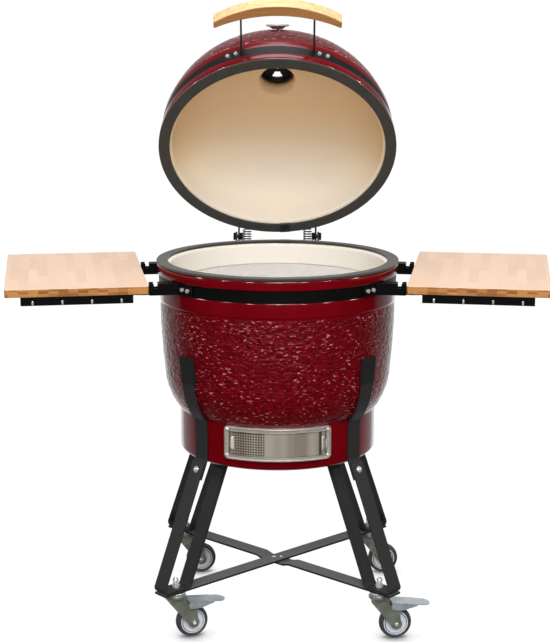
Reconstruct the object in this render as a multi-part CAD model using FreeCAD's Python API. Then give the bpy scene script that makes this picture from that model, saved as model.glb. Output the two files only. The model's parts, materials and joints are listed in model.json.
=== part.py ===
import FreeCAD, Part
import math
import os
from FreeCAD import Placement, Rotation, Vector

# Kamado ceramic grill on a caster stand, stored with its lid open.
# Millimetres and degrees. +Z up, the front faces -Y, origin on the floor under the bowl's axis.
# Heights are measured from the body's datum plane, DATUM_Z above the floor. The casters' forks, wheels and
# pedals are measured from the floor itself.
# "Azimuth" is measured round +Z from the front (-Y) towards +X.

os.makedirs("parts", exist_ok=True)

X_AXIS = Vector(1, 0, 0)
Y_AXIS = Vector(0, 1, 0)
Z_AXIS = Vector(0, 0, 1)
ORIGIN = Vector(0, 0, 0)
GAP = 0.3                     # running clearance between parts that move past each other
DATUM_Z = 8.0                 # height of the body's datum plane above the floor

# ---- Driving dimensions: ceramic bodies ----
RIM_Z = 855.4                 # top of the bowl's gasket
GASKET_R = 285.0
GASKET_IN_R = 258.6
GASKET_T = 6.0
LIP_R = 283.5                 # rolled ceramic lip beside the gasket
SEAT_R = 276.4                # groove that a band sits in
SMOOTH_R = 277.4              # smooth ring beside the band
WALL_IN_R = 252.0
BAND_T = 3.2
BAND_H = 26.0
BAND_GAP = 10.0
FOOT_R = 232.8                # cylindrical foot of the bowl
FOOT_Z0 = 402.0
FOOT_Z1 = 503.0
BOWL_FLOOR_Z = 430.0
BAND_Z0 = 799.6               # bowl band, lower edge

# ---- Driving dimensions: lid ----
LID_OPEN = 51.4               # how far the lid stands open
HINGE_Y = 305.0
HINGE_Z = 860.0
LID_Z0 = RIM_Z + GAP          # the lid's ring plane when closed
LID_BAND_H0 = 27.6            # heights above the ring plane
LID_SMOOTH_H = 73.0
DOME_H0 = 50.0
DOME_APEX_H = 283.0
DOME_POWER = 1.88             # a little more pointed than an ellipse
DOME_IN_APEX_H = 258.0
NECK_R = 62.0
NECK_H = 300.0
FLUE_R = 44.0

# ---- Driving dimensions: handle ----
HANDLE_HALF = 145.0
HANDLE_H = 70.0               # height of its middle above the ring plane
HANDLE_TALL = 30.0
HANDLE_BACK_Y = -363.7
HANDLE_FRONT_Y = -391.7
HANDLE_BACK_SAG = 36.0
HANDLE_FRONT_SAG = 45.0
BRACKET_X = 83.0

# ---- Driving dimensions: side tables ----
TABLE_W = 312.0
TABLE_D = 484.0
TABLE_T = 17.5
TABLE_CORNER = 5.0
TABLE_TOP_Z = 838.0
TABLE_C = Vector(472.0, -62.0, 0)
TABLE_TURN = -8.6             # the rear of each table stands farther out
TABLE_PIN_U = -168.7          # pins, in the table's own frame
TABLE_PIN_Z = 806.0
TABLE_PIN_R = 3.0
TABLE_PIN_T = (-133.0, 143.0)

# ---- Driving dimensions: stand ----
LEG_AZIMUTH = 48.0
LEG_AZIMUTHS = {"front_left": -48.0, "front_right": 48.0, "rear_left": -132.0, "rear_right": 132.0}
BAR_W = 40.0
BAR_T = 5.0
FOOT_OUT_R = 367.0
FOOT_IN_R = 290.0
BEND_R = 6.0                  # inside radius of the bends at the feet
FOOT_PLATE_Z = 112.0          # underside of the foot plates
LEG_SLOPE = 22.9              # lean of both arms from vertical
LEG_TOP_Z = 405.0
LEG_BOLT_Z = 387.0
RING_Z0 = 396.6
PAD_Z0 = 596.0
PAD_Z1 = 657.0

# ---- Driving dimensions: casters ----
STEM_R = 318.0                # radius of the stems from the grill's axis
WHEEL_R = 38.1
TYRE_IN_R = 29.0
WHEEL_TRAIL = 38.0
CASTER_HEADINGS = {"front_left": 22.0, "front_right": 8.0, "rear_left": 6.0, "rear_right": 4.0}

# ---- Driving dimensions: draft opening ----
VENT_HALF = 122.0
VENT_Z0 = 426.0
VENT_Z1 = 503.0
VENT_R0 = 232.9
VENT_R1 = 239.5
VENT_WINDOW = 110.0
VENT_BORDER = 10.0
HOLE_PITCH = 6.0


def save(name, *solids):
    shape = (solids[0] if len(solids) == 1 else Part.makeCompound(list(solids))).copy()
    shape.translate(Vector(0, 0, DATUM_Z))
    shape.exportStep("parts/" + name + ".step")


def polar(radius, azimuth, z=0.0):
    a = math.radians(azimuth)
    return Vector(radius * math.sin(a), -radius * math.cos(a), z)


def turned(shape, azimuth):
    """A shape drawn on the front (-Y) side, turned round +Z to an azimuth."""
    out = shape.copy()
    out.rotate(ORIGIN, Z_AXIS, azimuth)
    return out


def mirrored(shape):
    """The left-hand copy of a right-hand shape."""
    return shape.mirror(ORIGIN, X_AXIS)


def tube(r_in, r_out, z0, z1):
    outer = Part.makeCylinder(r_out, z1 - z0, Vector(0, 0, z0))
    inner = Part.makeCylinder(r_in, z1 - z0 + 2, Vector(0, 0, z0 - 1))
    return outer.cut(inner)


def sector(r_in, r_out, azimuth0, azimuth1, z0, z1):
    """Part of a tube between two azimuths."""
    sweep = azimuth1 - azimuth0
    outer = Part.makeCylinder(r_out, z1 - z0, Vector(0, 0, z0), Z_AXIS, sweep)
    inner = Part.makeCylinder(r_in, z1 - z0 + 2, Vector(0, 0, z0 - 1))
    return turned(outer.cut(inner), azimuth0 - 90.0)


def line(a, b):
    return Part.LineSegment(Vector(a[0], 0, a[1]), Vector(b[0], 0, b[1])).toShape()


def arc(a, b, c):
    points = [Vector(p[0], 0, p[1]) for p in (a, b, c)]
    return Part.Arc(*points).toShape()


def spline(points):
    curve = Part.BSplineCurve()
    curve.interpolate([Vector(p[0], 0, p[1]) for p in points])
    return curve.toShape()


def revolved(edges):
    """A closed outline in (radius, z), turned round +Z."""
    face = Part.Face(Part.Wire(edges))
    return face.revolve(ORIGIN, Z_AXIS, 360)


def outline(points):
    return Part.makePolygon(list(points) + [points[0]])


def plate_yz(points, x0, x1):
    """A flat plate drawn in (y, z) and standing between two x positions."""
    face = Part.Face(outline([Vector(x0, y, z) for y, z in points]))
    return face.extrude(Vector(x1 - x0, 0, 0))


def plate_xz(points, y0, y1):
    face = Part.Face(outline([Vector(x, y0, z) for x, z in points]))
    return face.extrude(Vector(0, y1 - y0, 0))


def strip(path, thickness, width):
    """A flat bar bent along a path in the front (radius, z) plane, centred on that plane."""
    left, right = [], []
    for i, (r, z) in enumerate(path):
        before = path[max(i - 1, 0)]
        after = path[min(i + 1, len(path) - 1)]
        d1 = Vector(r - before[0], z - before[1], 0) if i else Vector(after[0] - r, after[1] - z, 0)
        d2 = Vector(after[0] - r, after[1] - z, 0) if i < len(path) - 1 else d1
        d1.normalize()
        d2.normalize()
        n1 = Vector(-d1.y, d1.x, 0)
        n2 = Vector(-d2.y, d2.x, 0)
        n = n1 + n2
        scale = thickness / (1.0 + n1.dot(n2))
        left.append((r + n.x * scale / 2, z + n.y * scale / 2))
        right.append((r - n.x * scale / 2, z - n.y * scale / 2))
    points = [Vector(-width / 2, -r, z) for r, z in left + right[::-1]]
    return Part.Face(outline(points)).extrude(Vector(width, 0, 0))


def radial_cylinder(radius, azimuth, z, r0, r1):
    """A pin that points straight out from the axis, from radius r0 to r1."""
    start = polar(r0, azimuth, z)
    return Part.makeCylinder(radius, r1 - r0, start, polar(1, azimuth))


def hexagon(across, height, centre, direction):
    """A hexagonal prism: bolt heads and nuts."""
    corners = [Vector(across / math.sqrt(3) * math.cos(k * math.pi / 3),
                      across / math.sqrt(3) * math.sin(k * math.pi / 3), 0) for k in range(6)]
    prism = Part.Face(outline(corners)).extrude(Vector(0, 0, height))
    prism.Placement = Placement(centre, Rotation(Z_AXIS, direction))
    return prism


def cut_all(shape, tools):
    return shape.cut(list(tools)) if tools else shape


# ---------------------------------------------------------------- ceramic outlines
def circle_through(a, b, c):
    ax, ay, bx, by, cx, cy = *a, *b, *c
    d = 2 * (ax * (by - cy) + bx * (cy - ay) + cx * (ay - by))
    sa, sb, sc = ax * ax + ay * ay, bx * bx + by * by, cx * cx + cy * cy
    ux = (sa * (by - cy) + sb * (cy - ay) + sc * (ay - by)) / d
    uy = (sa * (cx - bx) + sb * (ax - cx) + sc * (bx - ax)) / d
    return ux, uy, math.hypot(ax - ux, ay - uy)


BELLY_LOW = ((237.3, 509.0), (254.9, 540.0), (267.5, 598.0))
BELLY_HIGH = ((267.5, 598.0), (274.4, 681.0), (276.6, 762.0))


def belly_radius(z):
    """Outside radius of the bowl at a height between its foot and its smooth ring."""
    if z <= BELLY_LOW[0][1]:
        return FOOT_R
    points = BELLY_LOW if z < BELLY_LOW[2][1] else BELLY_HIGH
    ux, uy, radius = circle_through(*points)
    return ux + math.sqrt(radius ** 2 - (z - uy) ** 2)


def bowl_shell():
    lip_top = RIM_Z - GASKET_T
    band_top = BAND_Z0 + BAND_H
    bend = 10 * (1 - math.sqrt(0.5))
    edges = [
        line((0, FOOT_Z0), (FOOT_R - 10, FOOT_Z0)),
        arc((FOOT_R - 10, FOOT_Z0), (FOOT_R - bend, FOOT_Z0 + bend), (FOOT_R, FOOT_Z0 + 10)),
        line((FOOT_R, FOOT_Z0 + 10), (FOOT_R, FOOT_Z1)),
        line((FOOT_R, FOOT_Z1), BELLY_LOW[0]),
        arc(*BELLY_LOW),
        arc(*BELLY_HIGH),
        line(BELLY_HIGH[2], (SMOOTH_R, 765)),
        line((SMOOTH_R, 765), (SMOOTH_R, BAND_Z0 - 2)),
        line((SMOOTH_R, BAND_Z0 - 2), (SEAT_R, BAND_Z0 - 0.2)),
        line((SEAT_R, BAND_Z0 - 0.2), (SEAT_R, band_top + 0.4)),
        line((SEAT_R, band_top + 0.4), (LIP_R - 2, band_top + 0.6)),
        arc((LIP_R - 2, band_top + 0.6), (LIP_R - 0.5, band_top + 1.2), (LIP_R, band_top + 3)),
        line((LIP_R, band_top + 3), (LIP_R, lip_top - 4)),
        arc((LIP_R, lip_top - 4), (LIP_R - 1.2, lip_top - 1.2), (LIP_R - 4, lip_top)),
        line((LIP_R - 4, lip_top), (GASKET_IN_R - 1, lip_top)),
        arc((GASKET_IN_R - 1, lip_top), (WALL_IN_R + 1.5, lip_top - 2), (WALL_IN_R, lip_top - 6)),
        line((WALL_IN_R, lip_top - 6), (WALL_IN_R, 650)),
        arc((WALL_IN_R, 650), (239, 570), (208, 500)),
        line((208, 500), (206, BOWL_FLOOR_Z + 6)),
        line((206, BOWL_FLOOR_Z + 6), (200, BOWL_FLOOR_Z)),
        line((200, BOWL_FLOOR_Z), (0, BOWL_FLOOR_Z)),
        line((0, BOWL_FLOOR_Z), (0, FOOT_Z0)),
    ]
    draft = Part.makeBox(192, 140, 50, Vector(-96, -300, 436))
    return revolved(edges).cut(draft)


def dome_point(a, h0, apex, t):
    power = 2.0 / DOME_POWER
    return (a * math.cos(t) ** power, LID_Z0 + h0 + (apex - h0) * math.sin(t) ** power)


def dome_points(a, apex, h_start, r_end, count):
    """Points on a dome from a height above the ring plane up to a radius."""
    power = 2.0 / DOME_POWER
    t0 = math.asin(((h_start - DOME_H0) / (apex - DOME_H0)) ** (1 / power))
    t1 = math.acos((r_end / a) ** (1 / power))
    return [dome_point(a, DOME_H0, apex, t0 + (t1 - t0) * k / (count - 1)) for k in range(count)]


def lid_shell(cuts):
    z = LID_Z0
    lip0 = z + GASKET_T
    band0 = z + LID_BAND_H0
    band1 = band0 + BAND_H
    outer = dome_points(277.0, DOME_APEX_H, LID_SMOOTH_H, 88.0, 12)
    inner = dome_points(WALL_IN_R, DOME_IN_APEX_H, DOME_H0 + 6, FLUE_R, 12)
    neck = (NECK_R, z + NECK_H - 8)
    edges = [
        line((GASKET_IN_R - 1, lip0), (LIP_R - 4, lip0)),
        arc((LIP_R - 4, lip0), (LIP_R - 1.2, lip0 + 1.2), (LIP_R, lip0 + 4)),
        line((LIP_R, lip0 + 4), (LIP_R, band0 - 3)),
        arc((LIP_R, band0 - 3), (LIP_R - 0.5, band0 - 1.2), (LIP_R - 2, band0 - 0.6)),
        line((LIP_R - 2, band0 - 0.6), (SEAT_R, band0 - 0.4)),
        line((SEAT_R, band0 - 0.4), (SEAT_R, band1 + 0.2)),
        line((SEAT_R, band1 + 0.2), (SMOOTH_R, band1 + 2)),
        line((SMOOTH_R, band1 + 2), (SMOOTH_R, z + LID_SMOOTH_H - 1.5)),
        line((SMOOTH_R, z + LID_SMOOTH_H - 1.5), outer[0]),
        spline(outer),
        arc(outer[-1], (NECK_R + 7, z + NECK_H - 22), neck),
        line(neck, (NECK_R, z + NECK_H)),
        line((NECK_R, z + NECK_H), (FLUE_R, z + NECK_H)),
        line((FLUE_R, z + NECK_H), inner[-1]),
        spline(inner[::-1]),
        line(inner[0], (WALL_IN_R, lip0 + 6)),
        arc((WALL_IN_R, lip0 + 6), (WALL_IN_R + 1.5, lip0 + 2), (GASKET_IN_R - 1, lip0)),
    ]
    return cut_all(revolved(edges), cuts)


# ---------------------------------------------------------------- bands and their bolts
def band(z0, ear_reach):
    """A split clamp band with two ears at the back."""
    r0 = SEAT_R + 0.2
    ring = tube(r0, r0 + BAND_T, z0, z0 + BAND_H)
    gap = Part.makeBox(BAND_GAP, 40, BAND_H + 2, Vector(-BAND_GAP / 2, 260, z0 - 1))
    ring = ring.cut(gap)
    for side in (-1, 1):
        x0 = BAND_GAP / 2 if side > 0 else -BAND_GAP / 2 - 3
        ear = Part.makeBox(3, ear_reach, BAND_H - 6, Vector(x0, r0, z0 + 3))
        ring = ring.fuse(ear)
    return ring


BAND_FACE_R = SEAT_R + 0.2 + BAND_T
FLANGE_T = 3.0
FLANGE_R = BAND_FACE_R + 0.1 + FLANGE_T


def band_bolt(azimuth, z):
    """A hexagon bolt through a flange and its band."""
    shank = radial_cylinder(2.5, azimuth, z, SEAT_R + 0.2, FLANGE_R)
    head = hexagon(8.0, 4.5, polar(FLANGE_R, azimuth, z), polar(1, azimuth))
    return shank.fuse(head)


def flange(azimuth0, azimuth1, z0):
    return sector(BAND_FACE_R + 0.1, FLANGE_R, azimuth0, azimuth1, z0 + 0.5, z0 + BAND_H - 0.5)


def clamp_bolt(z, y):
    shank = Part.makeCylinder(2.5, 22, Vector(-11, y, z), X_AXIS)
    head = hexagon(9.0, 4, Vector(8, y, z), X_AXIS)
    nut = hexagon(9.0, 4, Vector(-12, y, z), X_AXIS)
    return shank.fuse([head, nut])


# ---------------------------------------------------------------- hinge
HINGE_CHEEK_X = 102.0
LID_CHEEK_X = 96.0
LOW_ROD = (335.0, 795.0)
HIGH_ROD = (302.0, 897.0)
ROD_R = 4.0
PIN_R = 5.0


def hinge_base(bolts):
    """Two cheeks on the bowl's band, tied by the rod that the springs pull on."""
    mid = BAND_Z0 + BAND_H / 2
    cheek = [(262, BAND_Z0 + 1), (262, BAND_Z0 + BAND_H - 1), (286, 838), (293, HINGE_Z + 3), (317, HINGE_Z + 3),
             (345, mid), (347, 788), (334, 783), (318, 788)]
    parts = []
    for side in (-1, 1):
        x0 = side * HINGE_CHEEK_X
        x1 = side * (HINGE_CHEEK_X + 4)
        low, high = min(x0, x1), max(x0, x1)
        plate = plate_yz(cheek, low, high)
        eye = Part.makeCylinder(12, 4, Vector(low, HINGE_Y, HINGE_Z), X_AXIS)
        plate = plate.fuse(eye).cut(Part.makeCylinder(BAND_FACE_R + 0.1, 200, Vector(0, 0, 750)))
        parts.append(plate)
        foot = flange(156.5, 168.5, BAND_Z0)
        parts.append(foot if side > 0 else mirrored(foot))
    rod = Part.makeCylinder(ROD_R, 2 * HINGE_CHEEK_X + 2, Vector(-HINGE_CHEEK_X - 1, *LOW_ROD), X_AXIS)
    body = rod.fuse(parts)
    holes = [Part.makeCylinder(PIN_R, 300, Vector(-150, HINGE_Y, HINGE_Z), X_AXIS)]
    return cut_all(body, holes + bolts)


def hinge_top(bolts):
    z0 = LID_Z0 + LID_BAND_H0
    cheek = [(262, z0 + 1), (262, z0 + BAND_H - 1), (290, z0 + BAND_H - 1), (311, 903), (315, HINGE_Z + 2),
             (295, HINGE_Z - 2), (287, z0 - 6)]
    parts = []
    for side in (-1, 1):
        x0 = side * LID_CHEEK_X
        x1 = side * (LID_CHEEK_X + 4)
        low, high = min(x0, x1), max(x0, x1)
        plate = plate_yz(cheek, low, high)
        eye = Part.makeCylinder(11, 4, Vector(low, HINGE_Y, HINGE_Z), X_AXIS)
        plate = plate.fuse(eye).cut(Part.makeCylinder(BAND_FACE_R + 0.1, 200, Vector(0, 0, 800)))
        parts.append(plate)
        foot = flange(159.0, 171.0, z0)
        parts.append(foot if side > 0 else mirrored(foot))
    rod = Part.makeCylinder(ROD_R, 2 * LID_CHEEK_X + 2, Vector(-LID_CHEEK_X - 1, *HIGH_ROD), X_AXIS)
    body = rod.fuse(parts)
    holes = [Part.makeCylinder(PIN_R + 0.06, 300, Vector(-150, HINGE_Y, HINGE_Z), X_AXIS)]
    return cut_all(body, holes + bolts)


def hinge_pin(side):
    inner = LID_CHEEK_X - GAP
    shank = Part.makeCylinder(PIN_R, 22, Vector(inner - 6, HINGE_Y, HINGE_Z), X_AXIS)
    head = hexagon(17, 6, Vector(HINGE_CHEEK_X + 4, HINGE_Y, HINGE_Z), X_AXIS)
    nut = hexagon(17, 8, Vector(inner - 8, HINGE_Y, HINGE_Z), X_AXIS)
    pin = shank.fuse([head, nut])
    return pin if side > 0 else mirrored(pin)


def opened(shape):
    """Swings a part of the closed lid up to where it rests."""
    out = shape.copy()
    out.rotate(Vector(0, HINGE_Y, HINGE_Z), X_AXIS, -LID_OPEN)
    return out


SPRING_X = 77.5
SPRING_MEAN_R = 10.0
SPRING_WIRE_R = 1.5
SPRING_PITCH = 6.5


def spring(side):
    """A coil between the two rods, with the lid open."""
    a = math.radians(LID_OPEN)
    dy, dz = HIGH_ROD[0] - HINGE_Y, HIGH_ROD[1] - HINGE_Z
    top = Vector(side * SPRING_X, HINGE_Y + dy * math.cos(a) + dz * math.sin(a),
                 HINGE_Z - dy * math.sin(a) + dz * math.cos(a))
    low = Vector(side * SPRING_X, *LOW_ROD)
    axis = top - low
    margin = ROD_R + SPRING_WIRE_R + 2
    length = axis.Length - 2 * margin
    helix = Part.makeHelix(SPRING_PITCH, length, SPRING_MEAN_R)
    section = Part.Wire(Part.makeCircle(SPRING_WIRE_R, Vector(SPRING_MEAN_R, 0, 0), Y_AXIS))
    coil = Part.Wire(helix.Edges).makePipeShell([section], True, True)
    start = low + axis.normalize() * margin
    coil.Placement = Placement(start, Rotation(Z_AXIS, axis))
    return coil


# ---------------------------------------------------------------- inside the bowl
def firebox():
    edges = [
        line((0, BOWL_FLOOR_Z + 0.5), (196, BOWL_FLOOR_Z + 0.5)),
        line((196, BOWL_FLOOR_Z + 0.5), (200, 500)),
        arc((200, 500), (231, 570), (245, 640)),
        line((245, 640), (223, 640)),
        arc((223, 640), (212, 578), (190, 524)),
        line((190, 524), (190, 514)),
        line((190, 514), (174, 514)),
        line((174, 514), (172, 453)),
        line((172, 453), (0, 453)),
        line((0, 453), (0, BOWL_FLOOR_Z + 0.5)),
    ]
    air = Part.makeBox(110, 130, 36, Vector(-55, -280, 454))
    return revolved(edges).cut(air)


def charcoal_grate():
    disc = Part.makeCylinder(188, 8, Vector(0, 0, 514.2))
    slots = []
    for radius, count in ((60.0, 8), (115.0, 12), (160.0, 16)):
        for k in range(count):
            slot = Part.makeBox(10, 34, 12, Vector(-5, -radius - 17, 512))
            slots.append(turned(slot, 360.0 * k / count))
    return disc.cut(slots)


GRATE_Z = 800.5
GRATE_R = 232.0
GRATE_BAR_PITCH = 15.0


def cooking_grate():
    """Round wire rim, closely spaced bars from side to side and two cross bars under them."""
    rim = Part.makeTorus(GRATE_R, 3.5, Vector(0, 0, GRATE_Z))
    bars = []
    count = int(GRATE_R / GRATE_BAR_PITCH)
    for k in range(-count, count + 1):
        y = k * GRATE_BAR_PITCH
        half = math.sqrt(GRATE_R ** 2 - y * y)
        bars.append(Part.makeCylinder(2.5, 2 * half, Vector(-half, y, GRATE_Z), X_AXIS))
    for x in (-90.0, 90.0):
        half = math.sqrt(218.0 ** 2 - x * x)
        bars.append(Part.makeCylinder(2.5, 2 * half, Vector(x, -half, GRATE_Z - 3), Y_AXIS))
    return rim.fuse(bars)


# ---------------------------------------------------------------- draft opening
def rounded_window(half, z0, z1, radius):
    """A block on the front side with rounded corners, to cut or keep part of a curved plate."""
    block = Part.makeBox(2 * half, 120, z1 - z0, Vector(-half, -290, z0))
    if radius:
        edges = [e for e in block.Edges if abs(e.tangentAt(e.FirstParameter).y) > 0.9]
        block = block.makeFillet(radius, edges)
    return block


def vent_frame(screws):
    outer = sector(VENT_R0, VENT_R1, -36, 36, VENT_Z0, VENT_Z1)
    body = outer.common(rounded_window(VENT_HALF, VENT_Z0, VENT_Z1, 10))
    body = body.cut(rounded_window(VENT_WINDOW, VENT_Z0 + VENT_BORDER, VENT_Z1 - VENT_BORDER, 5))
    groove = sector(VENT_R0 + 1.2, VENT_R1 - 1.2, -28.6, 28.6, VENT_Z0 + 5.5, VENT_Z1 - 5.5)
    return cut_all(body.cut(groove), screws)


def vent_screw(azimuth, z):
    shank = radial_cylinder(1.6, azimuth, z, VENT_R0, VENT_R1)
    head = Part.makeSphere(5.2, polar(VENT_R1 - 3.0, azimuth, z))
    keep = Part.makeCylinder(6, 4, polar(VENT_R1, azimuth, z), polar(1, azimuth))
    return shank.fuse(head.common(keep))


SLIDE_Z0 = VENT_Z0 + 6.0
SLIDE_Z1 = VENT_Z1 - 6.0
TAB_Z0 = VENT_Z0 + 24.0
TAB_Z1 = VENT_Z1 - 25.0


def vent_screen():
    """The perforated slide, behind the solid one, with a finger tab at its left end."""
    r0 = VENT_R0 + 1.5
    r1 = r0 + 1.2
    sheet = sector(r0, r1, -28.2, 6.0, SLIDE_Z0, SLIDE_Z1)
    step = math.degrees(HOLE_PITCH / r0)
    holes = []
    rows = 8
    columns = int(28 / step)
    for i in range(columns):
        for j in range(rows + 1):
            z = (SLIDE_Z0 + SLIDE_Z1) / 2 + (j - rows / 2) * HOLE_PITCH
            holes.append(radial_cylinder(1.8, -25.2 + i * step, z, r0 - 1, r1 + 1))
    tab = sector(r1 - 0.3, r1 + 7, -27.0, -26.3, TAB_Z0, TAB_Z1)
    return sheet.cut(holes).fuse(tab)


def vent_door():
    """The solid slide, in front of the perforated one, with a finger tab at its right end."""
    r0 = VENT_R0 + 3.3
    r1 = r0 + 1.2
    sheet = sector(r0, r1, -7.3, 28.2, SLIDE_Z0, SLIDE_Z1)
    tab = sector(r1 - 0.3, r1 + 8, 25.6, 26.4, TAB_Z0, TAB_Z1)
    return sheet.fuse(tab)


# ---------------------------------------------------------------- handle and thermometer
def handle_arc(mid_y, sag):
    ends = [(-HANDLE_HALF, mid_y + sag), (0, mid_y), (HANDLE_HALF, mid_y + sag)]
    return Part.Arc(*[Vector(x, y, LID_Z0 + HANDLE_H - HANDLE_TALL / 2) for x, y in ends]).toShape()


def handle(brackets):
    back = handle_arc(HANDLE_BACK_Y, HANDLE_BACK_SAG)
    front = handle_arc(HANDLE_FRONT_Y, HANDLE_FRONT_SAG)
    z = LID_Z0 + HANDLE_H - HANDLE_TALL / 2
    ends = []
    for x in (-HANDLE_HALF, HANDLE_HALF):
        a = Vector(x, HANDLE_BACK_Y + HANDLE_BACK_SAG, z)
        b = Vector(x, HANDLE_FRONT_Y + HANDLE_FRONT_SAG, z)
        ends.append(Part.LineSegment(a, b).toShape())
    wire = Part.Wire(Part.__sortEdges__([back, ends[1], front, ends[0]]))
    bar = Part.Face(wire).extrude(Vector(0, 0, HANDLE_TALL))
    bar = bar.makeFillet(3.0, bar.Edges)
    return bar.cut(brackets)


def handle_bracket(bolts):
    z0 = LID_Z0 + LID_BAND_H0
    z_mid = LID_Z0 + HANDLE_H
    plate = plate_yz([(-262, z0 + 1), (-262, z0 + BAND_H - 1), (-352, z_mid + 9), (-366, z_mid + 9),
                      (-366, z_mid - 9), (-352, z_mid - 9)], BRACKET_X - 2, BRACKET_X + 2)
    plate = plate.cut(Part.makeCylinder(BAND_FACE_R + 0.1, 200, Vector(0, 0, 800)))
    foot = flange(16.7, 27.2, z0)
    return cut_all(plate.fuse(foot), bolts)


THERMO_LATITUDE = 39.7
THERMO_R = 226.0
THERMO_H = 176.6
CASE_R = 27.5


def on_dome(shape):
    """Moves a shape built on +Z from the origin to the thermometer's seat on the dome's front."""
    a = math.radians(THERMO_LATITUDE)
    out = shape.copy()
    normal = Vector(0, -math.cos(a), math.sin(a))
    seat = Placement(Vector(0, -THERMO_R, LID_Z0 + THERMO_H), Rotation(Z_AXIS, normal))
    out.Placement = seat.multiply(out.Placement)
    return out


def thermometer_case():
    case = Part.makeCylinder(CASE_R, 11, Vector(0, 0, 0.6))
    case = case.makeFillet(1.5, [case.Edges[0]])
    recess = Part.makeCylinder(CASE_R - 3, 5, Vector(0, 0, 9))
    stem = Part.makeCylinder(3.0, 70, Vector(0, 0, -68))
    return on_dome(case.cut(recess).fuse(stem))


def thermometer_glass():
    return on_dome(Part.makeCylinder(CASE_R - 3.1, 1.6, Vector(0, 0, 9.4)))


# ---------------------------------------------------------------- top vent
PETAL_R0 = 13.0
PETAL_R1 = 36.0
PETAL_ANGLE = 51.0
COLLAR_R = 43.4
DAMPER_R = 41.0
VENT_TOP_H = 304.0


def petals(z0, z1):
    """Three openings, one of them towards the hinge."""
    return [sector(PETAL_R0, PETAL_R1, 180 + 120 * k - PETAL_ANGLE / 2, 180 + 120 * k + PETAL_ANGLE / 2, z0, z1)
            for k in range(3)]


def chimney_base():
    z = LID_Z0 + NECK_H + GAP
    top = LID_Z0 + VENT_TOP_H
    disc = Part.makeCylinder(NECK_R - 2, top - z, Vector(0, 0, z))
    collar = tube(38.0, COLLAR_R, z - 8, z + 1)
    body = disc.cut(petals(z - 1, top + 1)).fuse(collar)
    return body.cut(Part.makeCylinder(4, 20, Vector(0, 0, z - 5)))


def damper_pivot():
    z = LID_Z0 + NECK_H + GAP
    top = LID_Z0 + VENT_TOP_H + GAP + 4
    shank = Part.makeCylinder(4, top - z + 2, Vector(0, 0, z))
    head = hexagon(15, 5, Vector(0, 0, top + GAP), Z_AXIS)
    return shank.fuse(head)


def damper():
    z = LID_Z0 + VENT_TOP_H + GAP
    disc = Part.makeCylinder(DAMPER_R, 4, Vector(0, 0, z))
    disc = disc.cut(petals(z - 1, z + 5))
    disc = disc.cut(Part.makeCylinder(4.06, 8, Vector(0, 0, z - 2)))
    knob = Part.makeCylinder(5, 18, Vector(0, -32, z))
    return disc.fuse(knob)


# ---------------------------------------------------------------- side tables, in the table's own frame
TABLE_FRAME = Placement(TABLE_C, Rotation(Z_AXIS, TABLE_TURN))
ARM_W = 22.0
CHEEK_T = 3.0
CHEEK_OUT = 15.0


def on_table(shape):
    out = shape.copy()
    out.Placement = TABLE_FRAME.multiply(out.Placement)
    return out


def table_board():
    box = Part.makeBox(TABLE_W, TABLE_D, TABLE_T,
                       Vector(-TABLE_W / 2, -TABLE_D / 2, TABLE_TOP_Z - TABLE_T))
    upright = [e for e in box.Edges if abs(e.tangentAt(e.FirstParameter).z) > 0.9]
    box = box.makeFillet(TABLE_CORNER, upright)
    rims = [e for e in box.Edges if abs(e.BoundBox.ZMax - e.BoundBox.ZMin) < 0.01]
    return on_table(box.makeFillet(1.5, rims))


def table_arm(t):
    """A bar under the board, with an eye for the bracket's pin."""
    top = TABLE_TOP_Z - TABLE_T - 0.1
    low = TABLE_PIN_Z - 6
    bar = plate_xz([(TABLE_PIN_U, low), (TABLE_PIN_U + 20, low), (110, top - 12), (110, top), (-152, top),
                    (TABLE_PIN_U + 2, TABLE_PIN_Z + 7)], t - ARM_W / 2, t + ARM_W / 2)
    eye = Part.makeCylinder(7.5, ARM_W, Vector(TABLE_PIN_U, t - ARM_W / 2, TABLE_PIN_Z), Y_AXIS)
    bore = Part.makeCylinder(TABLE_PIN_R + 0.06, 60, Vector(TABLE_PIN_U, t - 30, TABLE_PIN_Z), Y_AXIS)
    return on_table(bar.fuse(eye).cut(bore))


def table_pin(t):
    half = CHEEK_OUT
    shank = Part.makeCylinder(TABLE_PIN_R, 2 * half, Vector(TABLE_PIN_U, t - half, TABLE_PIN_Z), Y_AXIS)
    heads = [Part.makeCylinder(5, 2.5, Vector(TABLE_PIN_U, t - half - 2.5, TABLE_PIN_Z), Y_AXIS),
             Part.makeCylinder(5, 2.5, Vector(TABLE_PIN_U, t + half, TABLE_PIN_Z), Y_AXIS)]
    return on_table(shank.fuse(heads))


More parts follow.
